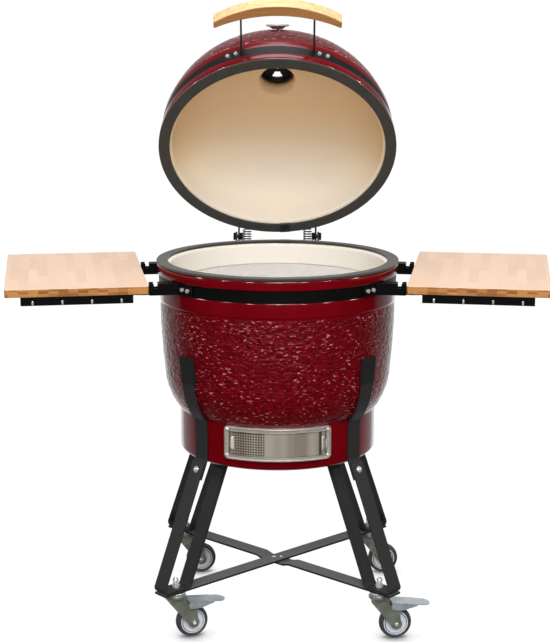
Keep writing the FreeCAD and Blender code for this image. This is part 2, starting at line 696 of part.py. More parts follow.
def table_bracket(t, flange_azimuths, bolts):
    """An inverted channel on the band, with an open notch in its cheeks just inboard of the pin."""
    z0 = BAND_Z0 - 0.4
    z1 = BAND_Z0 + BAND_H
    lug_out = TABLE_PIN_U + 5.0
    lug_in = TABLE_PIN_U - 5.0
    notch_in = lug_in - 9.6
    side = [(-270, z0), (lug_out, z0), (lug_out, z1), (lug_in, z1), (lug_in, z1 - 10.5),
            (notch_in, z1 - 10.5), (notch_in, z1), (-270, z1)]
    parts = [plate_xz(side, t - CHEEK_OUT, t - CHEEK_OUT + CHEEK_T),
             plate_xz(side, t + CHEEK_OUT - CHEEK_T, t + CHEEK_OUT)]
    web = Part.makeBox(270 + notch_in, 2 * CHEEK_OUT, CHEEK_T, Vector(-270, t - CHEEK_OUT, z1 - CHEEK_T))
    body = parts[0].fuse([parts[1], web])
    body = on_table(body).cut(Part.makeCylinder(BAND_FACE_R + 0.1, 100, Vector(0, 0, 780)))
    body = body.fuse(flange(*flange_azimuths, BAND_Z0))
    bore = Part.makeCylinder(TABLE_PIN_R, 60, Vector(TABLE_PIN_U, t - 30, TABLE_PIN_Z), Y_AXIS)
    return cut_all(body, [on_table(bore)] + bolts)


RAIL_HALF = 122.0
RAIL_H = 19.0
HOOK_PITCH = 64.0


def tool_rail():
    """An angle strip under the front edge, with four small hooks."""
    top = TABLE_TOP_Z - TABLE_T - 0.1
    y0 = -TABLE_D / 2 + 2
    face = Part.makeBox(2 * RAIL_HALF, 2.5, RAIL_H, Vector(-RAIL_HALF, y0, top - RAIL_H))
    lip = Part.makeBox(2 * RAIL_HALF, 18, 2.5, Vector(-RAIL_HALF, y0, top - 2.5))
    hooks = []
    for k in range(4):
        x = (k - 1.5) * HOOK_PITCH
        z = top - RAIL_H + 6
        stub = Part.makeCylinder(1.8, 9, Vector(x, y0 - 9, z), Y_AXIS)
        tip = Part.makeCylinder(1.8, 5.5, Vector(x, y0 - 7.5, z), Z_AXIS)
        hooks += [stub, tip]
    return on_table(face.fuse([lip] + hooks))


# ---------------------------------------------------------------- stand
TAN_SLOPE = math.tan(math.radians(LEG_SLOPE))
FOOT_MID_Z = FOOT_PLATE_Z + BAR_T / 2


def arm_radius(foot_r, z):
    """Radius of an arm's middle line at a height."""
    return foot_r - (z - FOOT_MID_Z) * TAN_SLOPE


def sharp(body, edge):
    """True where the two faces beside a straight edge meet at an angle."""
    normals = [f.normalAt(*f.Surface.parameter(edge.CenterOfMass)) for f in body.Faces
               if any(edge.isSame(e) for e in f.Edges)]
    return len(normals) == 2 and abs(normals[0].dot(normals[1])) < 0.99


def leg(cuts):
    """A flat bar bent to a U: outer arm, foot plate, inner arm."""
    path = [(arm_radius(FOOT_OUT_R, LEG_TOP_Z), LEG_TOP_Z), (FOOT_OUT_R, FOOT_MID_Z),
            (FOOT_IN_R, FOOT_MID_Z), (arm_radius(FOOT_IN_R, RING_Z0 + 8), RING_Z0 + 8)]
    bar = strip(path, BAR_T, BAR_W)
    low = [e for e in bar.Edges if e.BoundBox.ZMax < FOOT_PLATE_Z + BAR_T + 1 and e.BoundBox.XLength > BAR_W - 1]
    bar = bar.makeFillet(BEND_R, [e for e in low if e.BoundBox.ZMin > FOOT_MID_Z])
    low = [e for e in bar.Edges if e.BoundBox.ZMax < FOOT_PLATE_Z + 1 and e.BoundBox.XLength > BAR_W - 1]
    bar = bar.makeFillet(BEND_R + BAR_T, [e for e in low if e.BoundBox.ZLength < 0.01 and sharp(bar, e)])
    above = Part.makeBox(60, 90, 60, Vector(-30, -200, RING_Z0 - 0.2))
    return cut_all(bar, [above] + cuts)


def upright(cuts):
    """A flat bar that stands behind the outer arm and follows the bowl up to its pad."""
    shift = BAR_T / math.cos(math.radians(LEG_SLOPE)) + 0.1
    path = [(arm_radius(FOOT_OUT_R, 366) - shift, 366), (arm_radius(FOOT_OUT_R, 408) - shift, 408),
            (FOOT_R + 3.6, 416), (FOOT_R + 3.6, 498)]
    for z in (512, 522, 534, 548, 564, 582, 604, 630, PAD_Z1 - 3):
        slope = (belly_radius(z + 1) - belly_radius(z - 1)) / 2 if z > 512 else 0.55
        stand_off = 5.2 * math.hypot(1, slope)
        path.append((belly_radius(z) + stand_off, z))
    return cut_all(strip(path, BAR_T, BAR_W), cuts)


def pad_path():
    return [(belly_radius(z) + 4.6, z) for z in (PAD_Z0, 617, 637, PAD_Z1)]


def upright_pad(bar):
    """A rubber sleeve over the upright's end."""
    block = strip(pad_path(), 8.6, BAR_W + 5)
    return block.cut(bar)


def leg_bolt():
    """Dome-head bolt through the outer arm and the upright, with its nut, on the front side."""
    r = arm_radius(FOOT_OUT_R, LEG_BOLT_Z)
    a = math.radians(LEG_SLOPE)
    out = Vector(0, -math.cos(a), math.sin(a))
    centre = Vector(0, -r, LEG_BOLT_Z)
    face = centre + out * (BAR_T / 2)
    shank = Part.makeCylinder(4, 20, face - out * 17, out)
    dome = Part.makeSphere(9, face - out * 4.2)
    keep = Part.makeCylinder(10, 8, face, out)
    nut = hexagon(13, 6, face - out * (2 * BAR_T + 0.4 + 6), out)
    return shank.fuse([dome.common(keep), nut])


def bolt_hole():
    r = arm_radius(FOOT_OUT_R, LEG_BOLT_Z)
    a = math.radians(LEG_SLOPE)
    out = Vector(0, -math.cos(a), math.sin(a))
    return Part.makeCylinder(4, 60, Vector(0, -r, LEG_BOLT_Z) - out * 30, out)


BRACE_R = 364.0
JOGGLE_IN = 34.0
JOGGLE_OUT = 52.0


def brace_bar(joggled, cuts, azimuth):
    z = FOOT_PLATE_Z - BAR_T / 2 - 0.1
    path = [(-BRACE_R, z), (BRACE_R, z)]
    if joggled:
        low = z - BAR_T - 0.1
        path = [(-BRACE_R, z), (-JOGGLE_OUT, z), (-JOGGLE_IN, low), (JOGGLE_IN, low), (JOGGLE_OUT, z), (BRACE_R, z)]
    return cut_all(turned(strip(path, BAR_T, BAR_W), azimuth), cuts)


RIVETS = ((-9.0, 0.0), (9.0, 0.0))


def rivet(x, y):
    low = FOOT_PLATE_Z - 2 * BAR_T - 0.2
    shank = Part.makeCylinder(3, 2 * BAR_T + 0.1, Vector(x, y, low))
    head = Part.makeSphere(6, Vector(x, y, FOOT_PLATE_Z - 0.1 - 3.2))
    keep = Part.makeCylinder(7, 5, Vector(x, y, FOOT_PLATE_Z - 0.1))
    return shank.fuse(head.common(keep))


# ---------------------------------------------------------------- casters
BRACE_LOW_Z = FOOT_PLATE_Z - BAR_T - 0.2
RACE_T = 6.5
RACE_Z = BRACE_LOW_Z - RACE_T
CROWN_TOP = RACE_Z + DATUM_Z - GAP - 7.0      # above the floor, like all of the fork
PEDAL_PIVOT = (32.0, 80.0)
PEDAL_SLOPE = 6.0


def caster_stem(azimuth):
    at = polar(STEM_R, azimuth)
    stem = Part.makeCylinder(6, 20, Vector(at.x, at.y, BRACE_LOW_Z - 4))
    race = Part.makeCylinder(23, RACE_T, Vector(at.x, at.y, RACE_Z))
    race = race.makeFillet(2, [race.Edges[0]])
    return stem.fuse(race)


def stem_hole(azimuth):
    at = polar(STEM_R, azimuth)
    return Part.makeCylinder(6, 60, Vector(at.x, at.y, 95))


def eye_nut(azimuth):
    at = polar(STEM_R, azimuth)
    base = FOOT_PLATE_Z + BAR_T
    nut = Part.makeCylinder(9, 6, Vector(at.x, at.y, base + 0.1))
    nut = nut.cut(Part.makeCylinder(6, 40, Vector(at.x, at.y, 95)))
    cap = Part.makeCylinder(7.5, 3.5, Vector(at.x, at.y, base + 6.0))
    neck = Part.makeCylinder(4.5, 4, Vector(at.x, at.y, base + 9.0))
    eye = Part.makeTorus(5.0, 1.9, Vector(at.x, at.y, base + 17.5), Y_AXIS)
    return nut.fuse([cap, neck, eye])


def on_caster(shape, where):
    """From the caster's frame (trail along +X, axle along Y, origin under the stem) to its place."""
    out = shape.copy()
    at = polar(STEM_R, LEG_AZIMUTHS[where])
    place = Placement(Vector(at.x, at.y, -DATUM_Z), Rotation(Z_AXIS, CASTER_HEADINGS[where]))
    out.Placement = place.multiply(out.Placement)
    return out


def fork(where, braked):
    axle = (WHEEL_TRAIL, WHEEL_R)
    race = Part.makeCylinder(24, 7.0, Vector(0, 0, CROWN_TOP))
    race = race.makeFillet(2, race.Edges[:1])
    crown = Part.makeBox(44, 36, 3.5, Vector(-22, -18, CROWN_TOP - 3))
    side = [(-22, CROWN_TOP), (-22, CROWN_TOP - 6), (axle[0] - 11, axle[1] - 5), (axle[0] + 11, axle[1] - 2),
            (axle[0] + 7, 74), (axle[0] + 2, 84.5), (22, 84.5), (22, CROWN_TOP)]
    parts = [crown]
    for y0 in (-18.0, 15.0):
        parts.append(plate_xz(side, y0, y0 + 3))
        parts.append(Part.makeCylinder(13, 3, Vector(axle[0], y0, axle[1]), Y_AXIS))
    body = race.fuse(parts)
    if braked:
        body = body.cut(Part.makeCylinder(2.56, 60, Vector(PEDAL_PIVOT[0], -30, PEDAL_PIVOT[1]), Y_AXIS))
    body = body.cut(Part.makeCylinder(4, 60, Vector(axle[0], -30, axle[1]), Y_AXIS))
    return on_caster(body, where)


def axle_bolt(where):
    shank = Part.makeCylinder(4, 38, Vector(WHEEL_TRAIL, -19, WHEEL_R), Y_AXIS)
    head = hexagon(11, 3.5, Vector(WHEEL_TRAIL, -21.5, WHEEL_R), Y_AXIS)
    nut = hexagon(11, 3.5, Vector(WHEEL_TRAIL, 18, WHEEL_R), Y_AXIS)
    return on_caster(shank.fuse([head, nut]), where)


def wheel_core(where):
    centre = Vector(WHEEL_TRAIL, 0, WHEEL_R)
    disc = Part.makeCylinder(TYRE_IN_R, 20, centre - Y_AXIS * 10, Y_AXIS)
    boss = Part.makeCylinder(9, 29, centre - Y_AXIS * 14.5, Y_AXIS)
    rings = []
    for y0 in (-11.0, 8.0):
        groove = Part.makeCylinder(24, 3, centre + Y_AXIS * y0, Y_AXIS)
        rings.append(groove.cut(Part.makeCylinder(12, 3, centre + Y_AXIS * y0, Y_AXIS)))
    body = disc.cut(rings).fuse(boss)
    return on_caster(body.cut(Part.makeCylinder(4.06, 40, centre - Y_AXIS * 20, Y_AXIS)), where)


def tyre(where):
    centre = Vector(WHEEL_TRAIL, 0, WHEEL_R)
    body = Part.makeCylinder(WHEEL_R, 24, centre - Y_AXIS * 12, Y_AXIS)
    rims = [e for e in body.Edges if e.Length > 100]
    body = body.makeFillet(5, rims)
    return on_caster(body.cut(Part.makeCylinder(TYRE_IN_R, 40, centre - Y_AXIS * 20, Y_AXIS)), where)


def brake_pedal(where):
    """A channel over the wheel, pivoted in the fork, that slopes down to a broad rounded tongue."""
    top = Vector(27, 0, 92)
    side = [(27, 92), (88, 92), (88, 88), (56, 75.5), (30, 74), (27, 78)]
    parts = [plate_xz(side, -21.5, -19.2), plate_xz(side, 19.2, 21.5)]
    parts.append(Part.makeBox(61, 43, 2.3, Vector(27, -21.5, 89.7)))
    tongue = Part.makeBox(14, 38, 2.3, Vector(87, -19, 89.7))
    parts.append(tongue.fuse(Part.makeCylinder(19, 2.3, Vector(101, 0, 89.7))))
    channel = parts[0].fuse(parts[1:])
    channel.rotate(top, Y_AXIS, PEDAL_SLOPE)
    pin = Part.makeCylinder(2.5, 45, Vector(PEDAL_PIVOT[0], -22.5, PEDAL_PIVOT[1]), Y_AXIS)
    return on_caster(channel.fuse(pin), where)


# ---------------------------------------------------------------- the build
def build_fasteners():
    low_mid = BAND_Z0 + BAND_H / 2
    top_mid = LID_Z0 + LID_BAND_H0 + BAND_H / 2
    low = {"front": [band_bolt(a, low_mid) for a in (45.3, 49.1)],
           "rear": [band_bolt(a, low_mid) for a in (121.0, 125.0)],
           "hinge": [band_bolt(a, low_mid) for a in (161.5, 166.0)]}
    top = {"handle": [band_bolt(a, top_mid) for a in (19.6, 23.7)],
           "hinge": [band_bolt(a, top_mid) for a in (164.5, 168.5)]}
    return low, top


def build_bowl(low_bolts):
    right = [b for group in low_bolts.values() for b in group]
    bolts = right + [mirrored(b) for b in right]
    clamp = clamp_bolt(BAND_Z0 + BAND_H / 2, SEAT_R + 14)
    save("base_shell", bowl_shell())
    save("base_gasket", tube(GASKET_IN_R, GASKET_R, RIM_Z - GASKET_T + 0.05, RIM_Z))
    save("base_band", band(BAND_Z0, 20).cut(bolts + [clamp]))
    save("base_band_bolts", *bolts, clamp)
    hinge_bolts = low_bolts["hinge"] + [mirrored(b) for b in low_bolts["hinge"]]
    save("hinge_bracket_base", hinge_base(hinge_bolts))
    save("hinge_pins", hinge_pin(1), hinge_pin(-1))
    save("firebox", firebox())
    save("fire_ring", tube(222, 246, 640.3, 796.8))
    save("charcoal_grate", charcoal_grate())
    save("cooking_grate", cooking_grate())
    screws = [vent_screw(a, z) for a in (-28.9, 28.9) for z in (VENT_Z0 + 8, VENT_Z1 - 8)]
    save("vent_frame", vent_frame(screws))
    save("vent_frame_screws", *screws)
    save("vent_screen", vent_screen())
    save("vent_door", vent_door())


def build_lid(top_bolts):
    bolts = [b for group in top_bolts.values() for b in group]
    bolts += [mirrored(b) for b in bolts]
    z0 = LID_Z0 + LID_BAND_H0
    clamp = clamp_bolt(z0 + BAND_H / 2, SEAT_R + 9)
    bracket = handle_bracket(top_bolts["handle"])
    brackets = [bracket, mirrored(bracket)]
    probe_hole = on_dome(Part.makeCylinder(5.0, 80, Vector(0, 0, -60)))
    hinge_bolts = top_bolts["hinge"] + [mirrored(b) for b in top_bolts["hinge"]]
    save("lid_shell", opened(lid_shell([probe_hole])))
    save("lid_gasket", opened(tube(GASKET_IN_R, GASKET_R, LID_Z0, LID_Z0 + GASKET_T - 0.05)))
    save("lid_band", opened(band(z0, 13).cut(bolts + [clamp])))
    save("lid_band_bolts", *[opened(b) for b in bolts + [clamp]])
    save("hinge_bracket_lid", opened(hinge_top(hinge_bolts)))
    save("handle_brackets", *[opened(b) for b in brackets])
    save("handle", opened(handle(brackets)))
    save("thermometer_case", opened(thermometer_case()))
    save("thermometer_glass", opened(thermometer_glass()))
    save("chimney_base", opened(chimney_base()))
    save("damper_pivot", opened(damper_pivot()))
    save("damper_disc", opened(damper()))
    save("hinge_springs", spring(1), spring(-1))


def build_tables(low_bolts):
    front, rear = TABLE_PIN_T
    front_bracket = table_bracket(front, (42.5, 58.0), low_bolts["front"])
    rear_bracket = table_bracket(rear, (110.0, 128.5), low_bolts["rear"])
    pins = [table_pin(t) for t in TABLE_PIN_T]
    pieces = {"table_board": [table_board()], "table_arms": [table_arm(t) for t in TABLE_PIN_T],
              "tool_rail": [tool_rail()], "table_brackets": [front_bracket, rear_bracket]}
    for name, solids in pieces.items():
        save(name + "_right", *solids)
        save(name + "_left", *[mirrored(s) for s in solids])
    save("table_pins", *pins, *[mirrored(p) for p in pins])


def build_stand():
    bolt = leg_bolt()
    hole = bolt_hole()
    stem_local = Part.makeCylinder(6, 60, Vector(0, -STEM_R, 95))
    leg_shape = leg([hole, stem_local])
    bar = upright([hole])
    pad = upright_pad(upright([]))
    save("legs_front", turned(leg_shape, -LEG_AZIMUTH), turned(leg_shape, LEG_AZIMUTH))
    save("legs_rear", turned(leg_shape, LEG_AZIMUTH - 180), turned(leg_shape, 180 - LEG_AZIMUTH))
    save("uprights", *[turned(bar, a) for a in LEG_AZIMUTHS.values()])
    save("upright_pads", *[turned(pad, a) for a in LEG_AZIMUTHS.values()])
    save("support_ring", tube(150, 192, RING_Z0, FOOT_Z0 - 0.2))
    rivets = [rivet(*p) for p in RIVETS]
    stems = [stem_hole(a) for a in LEG_AZIMUTHS.values()]
    save("brace_upper", brace_bar(False, rivets + stems, -LEG_AZIMUTH))
    save("brace_lower", brace_bar(True, rivets + stems, LEG_AZIMUTH))
    save("stand_fasteners", *[turned(bolt, a) for a in LEG_AZIMUTHS.values()], *rivets)
    save("caster_stems", *[caster_stem(a) for a in LEG_AZIMUTHS.values()])
    save("eye_nuts", *[eye_nut(a) for a in LEG_AZIMUTHS.values()])
    for where in LEG_AZIMUTHS:
        braked = where.startswith("front")
        save("caster_fork_" + where, fork(where, braked), axle_bolt(where))
        save("wheel_core_" + where, wheel_core(where))
        save("tyre_" + where, tyre(where))
        if braked:
            save("brake_pedal_" + where, brake_pedal(where))


low_bolt_groups, top_bolt_groups = build_fasteners()
build_bowl(low_bolt_groups)
build_lid(top_bolt_groups)
build_tables(low_bolt_groups)
build_stand()
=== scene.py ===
import json
import math

import bpy
from mathutils import Matrix, Vector, noise


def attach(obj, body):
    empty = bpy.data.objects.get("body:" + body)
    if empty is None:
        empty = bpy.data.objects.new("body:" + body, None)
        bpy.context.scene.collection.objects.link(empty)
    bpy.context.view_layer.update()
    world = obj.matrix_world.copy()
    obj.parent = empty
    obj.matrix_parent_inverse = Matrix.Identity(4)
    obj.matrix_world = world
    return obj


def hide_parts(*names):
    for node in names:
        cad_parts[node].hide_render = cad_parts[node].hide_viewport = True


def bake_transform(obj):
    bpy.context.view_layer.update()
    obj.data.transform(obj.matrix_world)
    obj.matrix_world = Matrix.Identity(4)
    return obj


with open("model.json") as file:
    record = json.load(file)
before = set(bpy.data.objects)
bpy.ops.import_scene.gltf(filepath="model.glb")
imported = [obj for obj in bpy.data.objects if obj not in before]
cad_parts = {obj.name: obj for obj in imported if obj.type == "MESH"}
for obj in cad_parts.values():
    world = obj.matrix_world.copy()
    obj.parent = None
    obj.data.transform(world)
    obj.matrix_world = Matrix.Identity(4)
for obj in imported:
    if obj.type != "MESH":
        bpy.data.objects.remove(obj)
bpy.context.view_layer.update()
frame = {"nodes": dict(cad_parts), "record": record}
nodes = frame["nodes"]
scene = bpy.context.scene


# ---------------------------------------------------------------- shared sizes
MM = 0.001
LID_OPEN = math.radians(51.4)         # how far the lid stands open at rest
TABLE_TURN = math.radians(8.6)        # each table's turn about the vertical
VENT_MIDDLE = 0.4725                  # height of the middle of the draft opening
STEM_RADIUS = 0.318                   # from the body's axis to each caster's stem
TRAIL = 0.038                         # from the stem back to the axle
WHEEL_RADIUS = 0.0381


# ---------------------------------------------------------------- material helpers
class Graph:
    """A short way to write a node tree."""

    def __init__(self, tree):
        self.tree = tree
        tree.nodes.clear()

    def add(self, kind, inputs=None, **settings):
        node = self.tree.nodes.new(kind)
        for key, value in settings.items():
            setattr(node, key, value)
        for key, value in (inputs or {}).items():
            self.put(node.inputs[key], value)
        return node

    def put(self, socket, value):
        if isinstance(value, bpy.types.NodeSocket):
            self.tree.links.new(value, socket)
        elif isinstance(value, bpy.types.Node):
            self.tree.links.new(value.outputs[0], socket)
        else:
            socket.default_value = value

    def coords(self, scale=(1, 1, 1), rotation=(0, 0, 0), offset=(0, 0, 0)):
        where = self.add("ShaderNodeTexCoord")
        return self.add("ShaderNodeMapping", {"Vector": where.outputs["Object"], "Location": offset,
                                              "Rotation": rotation, "Scale": scale}).outputs[0]

    def noise(self, vector, scale, detail=4.0, rough=0.5, distortion=0.0):
        return self.add("ShaderNodeTexNoise", {"Vector": vector, "Scale": scale, "Detail": detail,
                                               "Roughness": rough, "Distortion": distortion}).outputs["Fac"]

    def ramp(self, factor, *stops, mode="LINEAR"):
        node = self.add("ShaderNodeValToRGB", {"Fac": factor})
        node.color_ramp.interpolation = mode
        elements = node.color_ramp.elements
        while len(elements) < len(stops):
            elements.new(0.5)
        for element, (place, value) in zip(elements, stops):
            element.position = place
            element.color = (*value, 1) if isinstance(value, tuple) else (value, value, value, 1)
        return node.outputs["Color"]

    def mix(self, factor, a, b, blend="MIX"):
        node = self.add("ShaderNodeMix", data_type="RGBA", blend_type=blend)
        self.put(node.inputs[0], factor)
        self.put(node.inputs[6], (*a, 1) if isinstance(a, tuple) else a)
        self.put(node.inputs[7], (*b, 1) if isinstance(b, tuple) else b)
        return node.outputs[2]

    def math(self, operation, a, b=None, c=None):
        node = self.add("ShaderNodeMath", operation=operation)
        for socket, value in zip(node.inputs, (a, b, c)):
            if value is not None:
                self.put(socket, value)
        return node.outputs[0]

    def bump(self, height, strength, distance, normal=None):
        inputs = {"Height": height, "Strength": strength, "Distance": distance}
        if normal is not None:
            inputs["Normal"] = normal
        return self.add("ShaderNodeBump", inputs).outputs[0]


def material(name, build):
    mat = bpy.data.materials.new(name)
    mat.use_nodes = True
    g = Graph(mat.node_tree)
    shader = g.add("ShaderNodeBsdfPrincipled")
    out = g.add("ShaderNodeOutputMaterial")
    g.tree.links.new(shader.outputs[0], out.inputs[0])
    build(g, lambda **values: [g.put(shader.inputs[k.replace("_", " ")], v) for k, v in values.items()])
    return mat


def axis_mix(g, vector, x, y, z):
    """A coordinate along the direction (x, y, z)."""
    return g.add("ShaderNodeVectorMath", {0: vector, 1: (x, y, z)}, operation="DOT_PRODUCT").outputs["Value"]


def mottled(scale, low, high, **look):
    """A finish whose colour drifts a little between two values."""
    return lambda g, put: put(Base_Color=g.mix(g.noise(g.coords(), scale), low, high), **look)


def opening_edge(g, half_size):
    """The x across the draft opening, and how far a point lies outside a window about its middle."""
    axes = g.add("ShaderNodeSeparateXYZ", {0: g.coords()})
    out = g.math("ABSOLUTE", axes.outputs["X"])
    up = g.math("ABSOLUTE", g.math("SUBTRACT", axes.outputs["Z"], VENT_MIDDLE))
    past = g.math("MAXIMUM", g.math("SUBTRACT", out, half_size[0]), g.math("SUBTRACT", up, half_size[1]))
    return axes.outputs["X"], past


def glaze_smooth(g, put):
    fine = g.noise(g.coords(), 260.0, 3.0)
    cloud = g.noise(g.coords(), 14.0)
    put(Base_Color=g.ramp(cloud, (0.3, (0.138, 0.0008, 0.0032)), (0.7, (0.172, 0.0011, 0.005))),
        Roughness=0.12, Coat_Weight=0.6, Coat_Roughness=0.05, Normal=g.bump(fine, 0.1, 0.0004))


def glaze_pebbled(g, put):
    """Hammered glaze: fine dimples, and pale flecks painted into the colour as painted highlights, where the
    real one catches the light.
    """
    lumps = g.noise(g.coords(scale=(1, 1, 1.5)), 88.0, 1.5, 0.5, 0.3)
    fine = g.noise(g.coords(scale=(1, 1, 1.6)), 170.0, 2.0)
    height = g.math("ADD", lumps, g.math("MULTIPLY", fine, 0.4))
    tall = g.coords(scale=(1, 1, 2.3), rotation=(0, 0.16, 0), offset=(0.3, 0.1, 0.2))
    # painted highlights: a thresholded noise lays pale pink flecks on the red
    painted_glint_pattern = g.noise(tall, 104.0, 1.0, 0.4, 0.4)
    painted_glint_pattern = g.math("ADD", painted_glint_pattern, g.math("MULTIPLY", g.noise(g.coords(), 16.0, 1.0), 0.22))
    glint = g.ramp(painted_glint_pattern, (0.765, 0.0), (0.86, 1.0))
    body = g.ramp(lumps, (0.3, (0.083, 0.0006, 0.0025)), (0.62, (0.164, 0.001, 0.0048)))
    put(Base_Color=g.mix(glint, body, (0.60, 0.17, 0.19)), Roughness=0.24, Specular_IOR_Level=0.3,
        Coat_Weight=0.4, Coat_Roughness=0.03, Normal=g.bump(height, 1.0, 0.0036))


def lining(g, put, colours=((0.94, 0.89, 0.80), (0.96, 0.92, 0.84))):
    speck = g.noise(g.coords(), 900.0, 2.0)
    base = g.mix(g.noise(g.coords(), 9.0), *colours)
    put(Base_Color=g.mix(g.ramp(speck, (0.28, 1.0), (0.33, 0.0)), base, (0.5, 0.4, 0.3)),
        Roughness=0.8, Specular_IOR_Level=0.2, Normal=g.bump(speck, 0.25, 0.0006))


def lid_lining(g, put):
    """The dome's ceramic, with painted shade and warm bounce light: browner and darker towards its front and
    its flue.
    """
    # painted shade: a gradient up the open dome from pale cream to brown
    painted_shade_gradient = g.ramp(axis_mix(g, g.coords(), 0, -0.35, 0.94), (0.84, 0.0), (1.0, 1.0))
    cloud = g.math("ADD", g.math("MULTIPLY", painted_shade_gradient, 0.85), g.math("MULTIPLY", g.noise(g.coords(), 5.0), 0.18))
    speck = g.noise(g.coords(), 900.0, 2.0)
    base = g.ramp(cloud, (0.05, (0.80, 0.735, 0.63)), (0.45, (0.87, 0.745, 0.56)),
                  (0.95, (0.88, 0.655, 0.40)))
    put(Base_Color=g.mix(g.ramp(speck, (0.28, 1.0), (0.33, 0.0)), base, (0.5, 0.38, 0.26)),
        Roughness=0.8, Specular_IOR_Level=0.2, Normal=g.bump(speck, 0.25, 0.0006))


def felt(g, put):
    fuzz = g.noise(g.coords(), 700.0, 6.0, 0.7)
    blotch = g.noise(g.coords(), 45.0, 4.0)
    fibres = g.ramp(fuzz, (0.3, (0.017, 0.015, 0.012)), (0.7, (0.052, 0.046, 0.038)))
    put(Base_Color=g.mix(blotch, fibres, (0.052, 0.047, 0.040)), Roughness=0.95,
        Specular_IOR_Level=0.15, Sheen_Weight=0.25, Normal=g.bump(fuzz, 0.6, 0.001))


def powder_coat(g, put):
    grain = g.noise(g.coords(), 1400.0, 2.0)
    put(Base_Color=g.mix(g.noise(g.coords(), 20.0), (0.0055, 0.005, 0.0052), (0.0085, 0.008, 0.0083)),
        Roughness=0.44, Specular_IOR_Level=0.5, Normal=g.bump(grain, 0.16, 0.0003))


def band_paint(g, put):
    grain = g.noise(g.coords(), 1200.0, 2.0)
    put(Base_Color=g.mix(g.noise(g.coords(), 20.0), (0.0016, 0.0014, 0.0015), (0.003, 0.0026, 0.0028)),
        Roughness=0.4, Specular_IOR_Level=0.22, Normal=g.bump(grain, 0.12, 0.0003))


def leg_coat(g, put):
    grain = g.noise(g.coords(scale=(1, 1, 0.25)), 900.0, 3.0)
    put(Base_Color=g.mix(grain, (0.016, 0.0145, 0.0145), (0.034, 0.031, 0.031)),
        Roughness=0.5, Specular_IOR_Level=0.45, Normal=g.bump(grain, 0.2, 0.0004))


def brace_coat(g, put):
    """The flat bars of the cross: the same coat, lighter on their top faces, partly dust and partly painted
    sheen.
    """
    grain = g.noise(g.coords(), 700.0, 3.0)
    facing = g.add("ShaderNodeSeparateXYZ", {0: g.add("ShaderNodeTexCoord").outputs["Normal"]}).outputs["Z"]
    dust_and_sheen = g.mix(grain, (0.10, 0.096, 0.102), (0.16, 0.155, 0.165))
    # the top faces' grey is partly dust and partly painted sheen
    base = g.mix(g.ramp(facing, (0.5, 0.0), (0.9, 1.0)), (0.012, 0.011, 0.011), dust_and_sheen)
    put(Base_Color=base, Roughness=0.5, Specular_IOR_Level=0.4, Normal=g.bump(grain, 0.2, 0.0004))


def bright_steel(g, put):
    put(Base_Color=(0.84, 0.83, 0.8, 1), Metallic=0.55,
        Roughness=g.ramp(g.noise(g.coords(), 300.0), (0.3, 0.12), (0.7, 0.25)))


def wire(g, put):
    put(Base_Color=(0.16, 0.15, 0.14, 1), Metallic=0.7,
        Roughness=g.ramp(g.noise(g.coords(), 300.0), (0.3, 0.25), (0.7, 0.45)))


def brushed(g, put):
    streak = g.noise(g.coords(scale=(60, 1, 1)), 18.0, 6.0, 0.7)
    # painted reflection: broad darker upright bands across x, for the sheen changing round the curved steel
    painted_sheen_bands = g.noise(g.coords(scale=(1, 0.01, 0.01)), 26.0, 1.0)
    base = g.mix(streak, (0.50, 0.46, 0.40), (0.70, 0.66, 0.60))
    put(Base_Color=g.mix(g.math("MULTIPLY", painted_sheen_bands, 0.75), base, (0.36, 0.32, 0.26)), Metallic=0.5,
        Roughness=g.ramp(streak, (0.3, 0.26), (0.7, 0.4)), Normal=g.bump(streak, 0.1, 0.0003))


def frame_steel(g, put):
    """Pressed frame of the draft opening, with painted shade: darker where its border meets the slides."""
    streak = g.noise(g.coords(scale=(1, 1, 40)), 22.0, 5.0, 0.7)
    _, inner = opening_edge(g, (0.11, 0.0285))
    base = g.mix(streak, (0.60, 0.56, 0.49), (0.74, 0.70, 0.63))
    # painted shade: a dark band along the inside of the frame, where it meets the slides
    painted_edge_shade = g.ramp(g.math("MULTIPLY", inner, 100.0), (0.10, 0.85), (0.32, 0.0))
    put(Base_Color=g.mix(painted_edge_shade, base, (0.13, 0.11, 0.085)), Metallic=0.45,
        Roughness=g.ramp(streak, (0.3, 0.2), (0.7, 0.32)), Normal=g.bump(streak, 0.05, 0.0003))


def slide_steel(g, put):
    """Brushed slides with soft upright bands of painted reflection, and painted shade: dark along the frame
    and in a slit beside the right finger lip.
    """
    streak = g.noise(g.coords(scale=(60, 60, 1)), 14.0, 6.0, 0.7)
    painted_reflection_bands = g.noise(g.coords(scale=(1, 0.01, 0.01)), 30.0, 1.0)
    x, edge = opening_edge(g, (0.1065, 0.0265))
    base = g.mix(streak, (0.47, 0.415, 0.345), (0.60, 0.54, 0.455))
    # painted reflection: soft lighter and darker upright bands
    base = g.mix(g.ramp(painted_reflection_bands, (0.36, 0.0), (0.62, 1.0)), base, (0.33, 0.275, 0.215))
    # painted shade: a dark upright slit on the right, beside the finger lip
    slot = g.ramp(g.math("MULTIPLY", x, 5.0), (0.467, 0.0), (0.474, 0.92), (0.498, 0.8), (0.506, 0.0))
    base = g.mix(slot, base, (0.04, 0.03, 0.022))
    # painted shade: dark along the frame's edge
    painted_edge_shade = g.ramp(g.math("MULTIPLY", edge, 200.0), (0.0, 0.0), (0.45, 0.9))
    put(Base_Color=g.mix(painted_edge_shade, base, (0.05, 0.04, 0.03)), Metallic=0.35,
        Roughness=g.ramp(streak, (0.3, 0.26), (0.7, 0.4)), Normal=g.bump(streak, 0.08, 0.0003))


